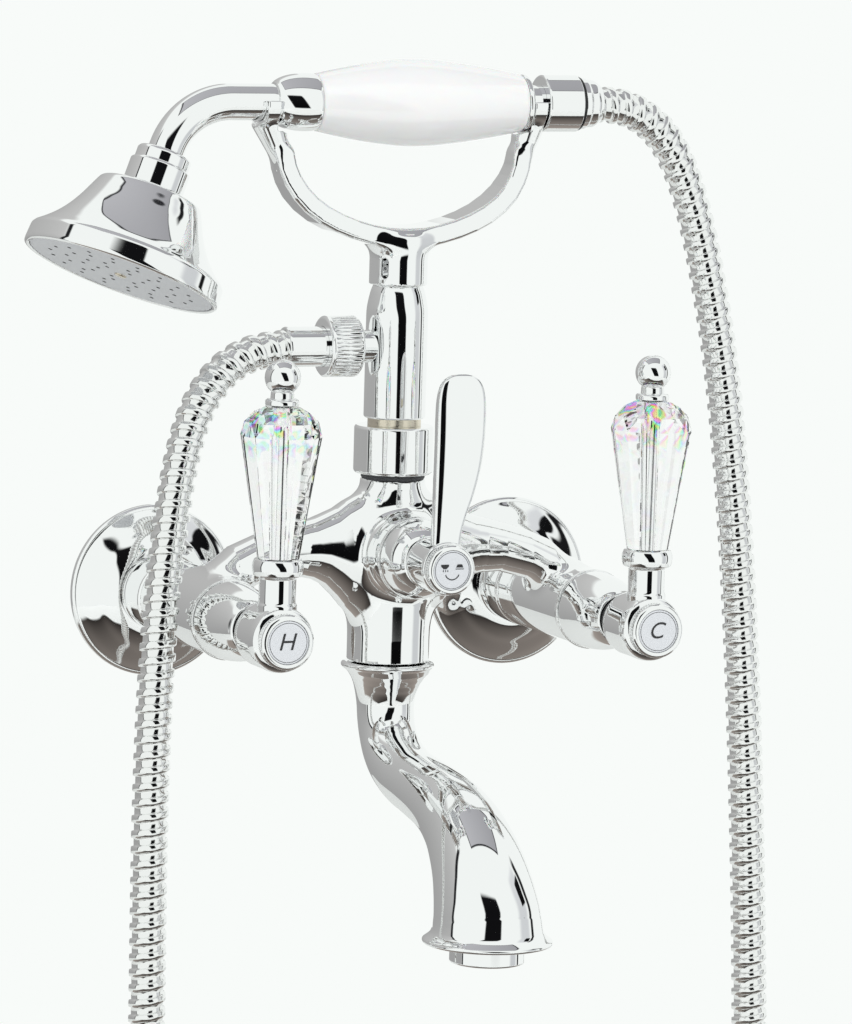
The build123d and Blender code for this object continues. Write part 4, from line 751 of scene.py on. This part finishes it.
def diverter():
    z = DIVERTER_HEIGHT
    add_piece("diverter_shroud_bell", [shroud_shell(0, z, 88.2, 12.2, 15.4, 10.2, 7.6)], "mixer", "chrome",
              ("diverter_shroud",))
    hub = forward(0, z, [
        (4.2, 100.7), (8.4, 100.9), (10.0, 101.4, 0.6), (10.3, 102.6, 0.6), (10.3, 117.2, 0.6),
        (9.8, 118.2, 0.5), (7.0, 118.2)])
    # The paddle's outline: height, left edge, right edge and half its thickness
    edges = [(22, -5.7, 5.7, 2.5), (30, -5.5, 5.8, 2.5), (35, -5.3, 6.3, 2.5), (42, -5.2, 8.2, 2.5),
             (49, -5.1, 10.7, 2.5), (59, -5.0, 13.3, 2.5), (70, -4.9, 14.7, 2.5), (80, -4.9, 15.0, 2.5),
             (86, -4.6, 14.7, 2.4), (90, -3.7, 13.8, 2.2), (92.6, -2.2, 12.3, 1.9), (94.2, 0.0, 10.2, 1.5),
             (95.0, 2.4, 7.8, 0.9), (95.2, 4.6, 5.6, 0.3)]
    rings = []
    paddle_depth, squareness = 114.5, 4.6
    for height, left, right, thick in resample(edges, 6):
        rings.append(((left / 2 + right / 2, -paddle_depth, height), (0, 0, 1), (right - left) / 2, thick,
                      squareness))
    paddle = lofted(rings, (1, 0, 0), steps=64)
    add_piece("diverter_paddle", [hub, paddle], "diverter_control", "chrome", ("diverter_lever",))
    cap = cap_shell(0, z, 118.2, 122.6, 9.4, 7.5)
    add_piece("diverter_milled_cap", [cap], "diverter_control", "chrome", ("diverter_cap",))
    badge = forward(0, z, [(0, 121.7), (7.5, 121.7, 0.1), (7.5, 122.35, 0.25), (7.0, 122.5, 0.2),
                           (0, 122.55)])
    add_piece("diverter_enamel_badge", [badge], "diverter_control", "badge_enamel", ("diverter_badge",))
    arc = [(3.1 * cos(radians(a)), -0.6 + 3.1 * sin(radians(a))) for a in range(200, 341, 10)]
    arc += [(2.7 * cos(radians(a)), -0.6 + 2.7 * sin(radians(a))) for a in range(340, 199, -10)]
    rose = [(-4.6, 2.3), (-1.4, 2.3), (-1.4, 1.6), (-2.4, 0.6), (-3.6, 0.6), (-4.6, 1.6)]
    drops = [[(-2.0 - 0.9 * i, 0.3), (-1.7 - 0.9 * i, 0.3), (-1.7 - 0.9 * i, -0.5), (-2.0 - 0.9 * i, -0.5)]
             for i in range(3)]
    spout_mark = [(1.5, 1.1), (2.1, 2.3), (3.9, 2.3), (4.5, 1.1)]
    water_mark = [(1.3, 0.7), (4.7, 0.7), (4.7, 0.4), (1.3, 0.4)]
    marks = flat_mark(0, z, 122.62, [arc, rose, *drops, spout_mark, water_mark])
    add_piece("diverter_marks", [marks, badge_ring(0, z, 122.56, 6.9)], "diverter_control", "badge_enamel",
              material=materials["ink"], smooth=False)


diverter()


# Column with its rings, and the cradle on top

def riser():
    for name, slot, node, outline in (
            ("column_seal_ring", "seal_rubber", "column_seal", [
                (9.0, 49.5), (11.9, 49.5, 0.5), (12.4, 50.4, 0.6), (12.1, 51.7, 0.3), (9.0, 51.7)]),
            ("column_nut_turned", "chrome", "column_nut", [
                (9.0, 51.7), (14.6, 51.7, 0.4), (15.3, 52.6, 0.5), (15.3, 69.3, 0.5), (14.7, 70.1, 0.4),
                (9.0, 70.1)]),
            ("column_brass_ring", "brass", "column_ring", [
                (9.0, 70.0), (10.3, 70.1, 0.2), (10.3, 73.0, 0.2), (9.0, 73.05)])):
        add_piece(name, [upright(0, COLUMN_DEPTH, outline)], "mixer", slot, (node,))
    tube = upright(0, COLUMN_DEPTH, [(9.0, 73.0), (11.4, 73.0, 0.3), (11.9, 73.6, 0.3), (11.9, 108.0, 0)]
                   + curve([(11.9, 109.0), (11.75, 115.0), (10.6, 121.0), (9.4, 124.3)]) + [(6.0, 124.3)])
    neck = level(OUTLET_HEIGHT, [(6.35, -18.0), (6.35, -8.0)])
    add_piece("column_tube", [tube, neck], "mixer", "chrome", ("riser_column",))


def cradle_distance(points):
    """A flat strip bent into a fork on a stem, with a saddle on each prong and a locking screw's slot."""
    line = [(0, 142.6), (7.5, 142.9), (14.6, 144.2), (21.2, 146.0), (27.5, 148.4), (33.6, 151.5),
            (38.9, 155.3), (43.0, 159.6), (46.2, 164.6), (48.1, 169.4), (48.9, 174.0)]
    half_thickness, edge = 3.8, 1.7
    x, z = np.abs(points[:, 0]), points[:, 2]
    flat = np.stack([x, 0 * x, z], 1)
    runs = [to_bar(flat, (x1, 0, z1), (x2, 0, z2), 0, 0) for (x1, z1), (x2, z2) in zip(line, line[1:])]
    across = np.minimum.reduce(runs) - half_thickness + edge
    half_depth = np.interp(x, [0, 20, 35, 49], [9.2, 8.8, 8.2, 7.4]) - np.interp(z, [158, 174], [0, 2.6])
    deep = np.abs(points[:, 1] + COLUMN_DEPTH) - half_depth + edge
    corner = np.hypot(np.maximum(across, 0), np.maximum(deep, 0))
    fork = np.minimum(np.maximum(across, deep), 0) + corner - edge
    stem = to_drum(points, (0, -COLUMN_DEPTH, 124.4), (0, -COLUMN_DEPTH, 143.0), 11.2, 0.5)
    field = merge(fork, stem, 5.5)

    def sleeve(start, end, radius, edge):
        return to_drum(points, (start, -COLUMN_DEPTH, HANDSET_HEIGHT), (end, -COLUMN_DEPTH, HANDSET_HEIGHT),
                       radius, edge)

    for direction, start, end in ((-1, -58.7, -53.3), (1, 50.9, 56.6)):
        middle = (start + end) / 2
        foot = to_bar(points, (direction * 48.9, -COLUMN_DEPTH, 172.0),
                      (middle - direction * 1.0, -COLUMN_DEPTH, 186.5), 3.8, 6.4, (1, 1.1, 1))
        field = merge(merge(field, foot, 2.5), sleeve(start, end, 10.1, 0.5), 1.2)
    # Room for the tube, the grip, the nut and the arm
    for start, end, radius in ((-80, 80, 7.3), (-53.3, 50.9, 11.9), (56.6, 90, 11.3), (-90, -58.7, 9.0)):
        field = carve(field, sleeve(start, end, radius, 0.1), 0.5)
    field = carve(field, HANDSET_HEIGHT + 1.0 - z, 0.5)
    turn = radians(51.0)
    out = np.array([-sin(turn), -cos(turn), 0])
    sideways = np.array([cos(turn), -sin(turn), 0])
    slot_height, half_length, half_width, slot_floor = 131.0, 2.4, 1.4, 5
    local = points - np.array([0, -COLUMN_DEPTH, slot_height])
    up = np.clip(local[:, 2], -half_length, half_length)
    slot = np.hypot(local @ sideways, local[:, 2] - up) - half_width
    slot = np.maximum(slot, slot_floor - local @ out)
    return carve(field, slot, 0.4)


riser()
add_casting("cradle_fork", cradle_distance, (-64, -74.6, 123.2), (61, -48.4, 196), 0.62, "cradle")


# Spout: one shell from the lip, along the S, to the flared mouth

def spout():
    # The neck and the S: depth, height and radius
    rows = [
        (61.5, -21.5, 16.6), (61.5, -21.9, 17.6), (61.5, -22.6, 18.0), (61.4, -23.4, 17.8),
        (61.3, -24.6, 16.6), (61.1, -26.6, 14.9), (60.8, -29.4, 13.3), (60.5, -33.0, 12.1),
        (60.5, -38.0, 11.2), (61.2, -43.5, 11.0), (63.6, -49.3, 11.0), (68.3, -54.8, 11.3),
        (76.0, -59.4, 11.7), (87.6, -62.9, 12.1), (101.0, -64.6, 12.5), (116.5, -66.6, 13.2),
        (129.5, -69.4, 14.1), (140.9, -74.0, 15.3), (149.2, -79.6, 16.5), (156.0, -86.2, 17.7),
        (161.0, -93.4, 18.9), (164.3, -100.2, 19.9), (165.6, -105.0, 20.5)]
    rings = [((0, -COLUMN_DEPTH, -21.4), (0, 0, -1), radius) for radius in (12.0, 16.0)]
    rows = resample(rows, 5)
    lip_rows = 20
    for i, (depth, z, radius) in enumerate(rows):
        before, after = rows[max(i - 1, 0)], rows[min(i + 1, len(rows) - 1)]
        direction = (0, 0, -1) if i < lip_rows else (0, -(after[0] - before[0]), after[1] - before[1])
        rings.append(((0, -depth, z), direction, radius))
    flange = [(165.9, -107.0, 20.9)] + [(MOUTH_DEPTH, z, radius) for z, radius in (
        (-108.4, 21.6), (-109.5, 22.8), (-110.3, 23.9), (-110.8, 24.35), (-111.3, 24.45), (-111.8, 24.3),
        (-112.1, 23.9), (-112.2, 23.2))]
    inside = [(MOUTH_DEPTH, z, radius) for z, radius in ((-112.25, 20.0), (-112.2, 14.3), (-110.0, 14.2))]
    rings += [((0, -depth, z), (0, 0, -1), radius) for depth, z, radius in resample(flange, 3) + inside]
    spigot = upright(0, COLUMN_DEPTH, [(9.4, -22.0), (9.4, -6.5), (6.2, -6.4), (6.2, -20.0)])
    shell = lofted(rings, (1, 0, 0), steps=96, capped=False)
    add_piece("spout_shell", [shell, spigot], "swivel_spout", "chrome", ("spout",))
    housing = upright(0, MOUTH_DEPTH, [
        (8.8, -118.0, 0), (9.2, -119.3, 0.2), (13.6, -119.3, 0.3), (14.1, -118.8, 0.3), (14.1, -112.9, 0.2),
        (13.7, -112.6, 0.2), (13.7, -110.5)])
    add_piece("aerator_ring", [housing], "swivel_spout", "chrome", ("aerator_housing",))


spout()


# Hand shower: arm, ferrules, grip, bell, spray face and collar

def handset_arm(corner, away, face_reach):
    """A tube that comes level from the grip, bends at the corner and ends away from it in the collar."""
    bend, bend_steps, tube_radius, collar_reach = 28.0, 28, 7.0, 38.0
    turn = radians(ARM_TURN)
    reach = bend * (1 - cos(turn)) / sin(turn)
    start = corner + Vector((1, 0, 0)) * reach
    centre = start + (away - Vector((1, 0, 0)) * away.x).normalized() * bend
    rings = [((x, -COLUMN_DEPTH, HANDSET_HEIGHT), (-1, 0, 0), tube_radius)
             for x in (-45.0, -55.0, start.x + 1)]
    inward = (start - centre).normalized()
    for step in range(bend_steps + 1):
        angle = radians(ARM_TURN * step / bend_steps)
        out = inward * cos(angle) + Vector((-1, 0, 0)) * sin(angle)
        ahead = Vector((-1, 0, 0)) * cos(angle) - inward * sin(angle)
        rings.append((tuple(centre + out * bend), tuple(ahead), tube_radius))
    for along in (reach + 1, face_reach - collar_reach):
        rings.append((tuple(corner + away * along), tuple(away), tube_radius))
    add_piece("arm_tube", [lofted(rings, (0, 1, 0))], "hand_shower", "chrome", ("handset_arm",))


def handset_grip():
    front_dome = curve([(7.5, -53.0), (8.8, -51.4), (10.0, -48.6), (10.8, -45.0), (11.1, -41.4),
                        (11.0, -38.0), (10.7, -36.5)])
    barrel = curve([(11.0, -35.8), (12.6, -28.5), (14.7, -17.0), (16.2, -5.0), (16.6, 3.5), (16.2, 13.0),
                    (14.7, 26.0), (12.7, 39.0), (11.0, 48.1)])
    for name, slot, node, steps, outline in (
            ("front_ferrule_dome", "chrome", "front_ferrule", 72,
             [(6.9, -52.8), (7.3, -53.0, 0.2)] + front_dome + [(9.0, -36.4)]),
            ("grip_porcelain", "porcelain", "grip", 96,
             [(5.2, -36.3), (10.4, -36.3, 0.5)] + barrel + [(10.4, 48.6, 0.4), (5.2, 48.6)]),
            ("rear_ferrule_ring", "chrome", "rear_ferrule", 72, [
                (5.2, 48.6), (10.8, 48.6, 0.3), (11.1, 49.2, 0.4), (11.1, 50.1, 0.4), (10.6, 50.6, 0.3),
                (7.1, 50.7, 0.3), (7.0, 56.9)])):
        add_piece(name, [level(HANDSET_HEIGHT, outline, steps=steps)], "hand_shower", slot, (node,))


def shower_head(face, away):
    """Bell, spray face and collar, turned round the head's axis from the middle of its face."""
    def on_head(outline, **options):
        return turned(tuple(face), tuple(-away), outline, **options)

    flare = curve([(37.3, 8.7), (34.2, 11.3), (30.6, 14.9), (27.2, 19.4), (24.4, 24.2), (22.3, 28.6),
                   (21.0, 31.4)])
    bell = [(36.4, 2.8), (36.4, 0.3, 0.2), (37.5, 0.0, 0.4), (38.4, 0.6, 0.5), (38.5, 1.6, 0.6),
            (38.1, 7.6, 0.8)]
    bell += flare + [(19.9, 33.6, 1.6), (17.4, 34.6, 1.6), (11.0, 34.8)]
    for name, slot, node, steps, outline in (
            ("shower_bell_spun", "chrome", "shower_bell", 96, bell),
            ("spray_face_disc", "spray_plastic", "spray_face", 96,
             [(0, 0.5), (35.6, 0.5), (36.3, 0.8, 0.2), (36.4, 3.0)]),
            ("shower_collar_turned", "chrome", "shower_collar", 72, [
                (9.0, 34.7), (11.4, 34.7, 0.3), (11.7, 35.1, 0.3), (11.7, 44.2, 0.4), (11.2, 44.8, 0.3),
                (10.6, 44.9, 0.2), (10.6, 49.0, 0.6), (9.8, 50.0, 0.5), (6.9, 50.1)])):
        add_piece(name, [on_head(outline, steps=steps)], "hand_shower", slot, (node,))
    # Painted shade: each nozzle hole is drawn as a small dark dimple in the black material, standing in for
    # the shade inside the hole
    nozzle = [(0.8, -0.05, 0), (0.75, 0.12, 0), (0.3, 0.16, 0), (0, 0.02, 0)]
    nozzles = []
    side = away.orthogonal().normalized()
    other = away.cross(side)
    for radius, count, shift in ((9.0, 6, 0.2), (15.0, 10, 0.0), (21.5, 14, 0.35), (28.0, 18, 0.1)):
        for number in range(count):
            angle = 2 * pi * (number + shift) / count
            spot = face + (side * cos(angle) + other * sin(angle)) * radius - away * 0.5
            nozzles.append(turned(tuple(spot), tuple(away), nozzle, steps=12))
    add_piece("spray_holes_painted_dark", nozzles, "hand_shower", "black_plastic")
    screw = on_head([(0, -0.25), (1.9, -0.2, 0.2), (2.4, 0.2, 0.2), (2.4, 0.8)], steps=36)
    add_piece("spray_face_screw", [screw], "hand_shower", "brass")


def hand_shower():
    turn, tilt, face_reach = radians(ARM_TURN), radians(7.4), 70.9
    away = Vector((-cos(turn), -sin(turn) * sin(tilt), -sin(turn) * cos(tilt)))
    corner = Vector((-89.0, -COLUMN_DEPTH, HANDSET_HEIGHT))
    handset_arm(corner, away, face_reach)
    handset_grip()
    shower_head(corner + away * face_reach, away)


hand_shower()


# CAD nodes that stay: each takes the finish of its slot

for part in frame["record"]["subparts"]:
    node = frame["nodes"][part["node"]]
    node.data.materials.clear()
    node.data.materials.append(materials[part["material_slot"]])


# Stage: floor, soft light and the dark panels that a photographer stands round chrome

def stage_material(name, low, high, soft):
    """A plain light graded from low to high up the panel; soft is how much of each side fades out."""
    material = bpy.data.materials.new(name)
    material.use_nodes = True
    tree = material.node_tree
    tree.nodes.clear()
    place = add_node(tree, "SeparateXYZ", Vector=add_node(tree, "TexCoord").outputs["UV"])
    shade = add_node(tree, "Mix", {"data_type": "RGBA"}, Factor=place.outputs["Y"],
                     _6=linear(low), _7=linear(high))
    glow = add_node(tree, "Emission", Color=shade.outputs[2], Strength=1.0)
    fades = []
    for way, share in zip("XY", soft):
        off = add_node(tree, "Math", {"operation": "SUBTRACT"}, _0=place.outputs[way], _1=0.5)
        off = add_node(tree, "Math", {"operation": "ABSOLUTE"}, _0=off.outputs[0])
        fades.append(add_node(tree, "MapRange", {"interpolation_type": "SMOOTHSTEP"},
                              Value=off.outputs[0], From_Min=0.5 - share, From_Max=0.5, To_Min=1.0,
                              To_Max=0.0))
    fade = add_node(tree, "Math", {"operation": "MULTIPLY"}, _0=fades[0].outputs["Result"],
                    _1=fades[1].outputs["Result"])
    clear = add_node(tree, "BsdfTransparent")
    mixed = add_node(tree, "MixShader", _0=fade.outputs[0], _1=clear.outputs[0],
                     _2=glow.outputs[0])
    add_node(tree, "OutputMaterial", Surface=mixed.outputs[0])
    return material


def toward(around, up, away):
    """The way from the mixer at two angles in degrees, and the point there that far away."""
    around, up = radians(around), radians(up)
    out = Vector((sin(around) * cos(up), -cos(around) * cos(up), sin(up)))
    middle = Vector((0, -0.08, 0.05))
    return out, middle + out * away


def panel(name, around, up, away, width, height, low, high, soft, through=False):
    """A flat panel that faces the mixer; around and up are the angles to it in degrees."""
    out, centre = toward(around, up, away)
    across = Vector((cos(radians(around)), sin(radians(around)), 0))
    tall = out.cross(across)
    corners = [centre + across * (width / 2 * i) + tall * (height / 2 * j)
               for i, j in ((-1, -1), (1, -1), (1, 1), (-1, 1))]
    board(name, corners, low, high, soft, through)


def board(name, corners, low, high, soft, through):
    """A panel that only mirrors see, and glass too where through is true."""
    mesh = bpy.data.meshes.new(name)
    mesh.from_pydata([tuple(c) for c in corners], [], [(0, 1, 2, 3)])
    mesh.uv_layers.new(name="panel").data.foreach_set("uv", (0, 0, 1, 0, 1, 1, 0, 1))
    mesh.materials.append(stage_material(name, low, high, soft))
    flat = place_object(name, mesh)
    flat.visible_camera = False
    flat.visible_diffuse = False
    flat.visible_shadow = False
    flat.visible_volume_scatter = False
    flat.visible_transmission = through


def flat_board(name, left, right, back, front, height, low, high, soft):
    """A level panel; back and front are depths, and low is the colour at the front."""
    corners = [(left, -front, height), (right, -front, height), (right, -back, height),
               (left, -back, height)]
    board(name, corners, low, high, soft, False)


def lay_floor():
    radius, sides, patch_size = 1.5, 96, 0.1
    turns = [2 * pi * i / sides for i in range(sides)]
    floor_mesh = bpy.data.meshes.new("floor")
    floor_mesh.from_pydata([(radius * cos(turn), radius * sin(turn), FLOOR_HEIGHT) for turn in turns], [],
                           [tuple(range(sides))])
    floor = place_object("floor", floor_mesh)
    # Backdrop paper, matt and near white: hardly any shine, and that varies over patches of 100 mm
    material, tree, shader = new_material("floor_paper", "#F1F2F1", 0.0, 0.8)
    noise = add_node(tree, "TexNoise", Scale=2 * radius / patch_size)
    rough = add_node(tree, "MapRange", Value=noise.outputs["Fac"], To_Min=0.75, To_Max=0.85)
    tree.links.new(rough.outputs["Result"], shader.inputs["Roughness"])
    floor_mesh.materials.append(material)


def light_backdrop():
    """The camera, mirrors and glass see the full backdrop; dull surfaces get a little less of its light."""
    world = bpy.data.worlds.new("studio")
    bpy.context.scene.world = world
    world.use_nodes = True
    tree = world.node_tree
    background = tree.nodes["Background"]
    path = add_node(tree, "LightPath")
    seen = add_node(tree, "Math", {"operation": "ADD"}, _0=path.outputs["Is Camera Ray"],
                    _1=path.outputs["Is Glossy Ray"])
    seen = add_node(tree, "Math", {"operation": "ADD", "use_clamp": True}, _0=seen.outputs[0],
                    _1=path.outputs["Is Transmission Ray"])
    strength = add_node(tree, "MapRange", Value=seen.outputs[0], To_Min=0.72, To_Max=1.0)
    background.inputs["Color"].default_value = linear("#F8FBF9")
    tree.links.new(strength.outputs["Result"], background.inputs["Strength"])


def hang_softboxes():
    aim = Vector((0, -0.06, 0))
    for name, place, size, power in (
            ("softbox_left", (-1.6, -1.8, 1.5), 1.6, 30.0), ("softbox_right", (1.9, -1.2, 0.9), 1.4, 12.0)):
        lamp = bpy.data.lights.new(name, "AREA")
        lamp.shape = "SQUARE"
        lamp.size = size
        lamp.energy = power
        holder = place_object(name, lamp)
        holder.location = place
        holder.rotation_euler = (aim - Vector(place)).to_track_quat("-Z", "Y").to_euler()
        holder.visible_glossy = False
        holder.visible_transmission = False


def stand_boards():
    """What the chrome shows round it: dark in front, grey on the left, soft light with dark edges on the
    right, a framed flat overhead, and a table below, between hose and floor, that is darker in front."""
    stand = [toward(around, up, 1.55)[1] for around, up in ((-12, -17), (18, -17), (0, 36), (-42, 38))]
    board("camera_stand", stand, "#09090A", "#141416", (0.08, 0.1), True)
    panel("left_flat", -150, 5, 1.6, 3.5, 3.2, "#8D8D8D", "#CBCBCA", (0.03, 0.1))
    panel("left_edge", -100, 5, 1.5, 0.2, 2.6, "#141416", "#242427", (0.3, 0.1), True)
    panel("right_soft", 61, 5, 1.65, 0.95, 2.6, "#C3C6C8", "#DFE1E3", (0.3, 0.1))
    panel("right_edge", 81, 2, 1.55, 0.27, 2.4, "#101011", "#202022", (0.3, 0.1), True)
    panel("right_card", 68, 22, 1.5, 0.34, 0.55, "#0C0C0D", "#151517", (0.1, 0.1))
    panel("ceiling_frame", 80, 85.5, 0.61, 0.5, 0.74, "#29292C", "#3A3A3D", (0.03, 0.03))
    panel("ceiling_flat", 80, 85.5, 0.59, 0.44, 0.67, "#A2A2A6", "#BBBBBF", (0.02, 0.02))
    flat_board("table", -0.8, 0.8, -0.31, 0.71, -0.491, "#191615", "#A39A93", (0.08, 0.06))


lay_floor()
light_backdrop()
hang_softboxes()
stand_boards()
bpy.context.scene.view_settings.view_transform = "Standard"
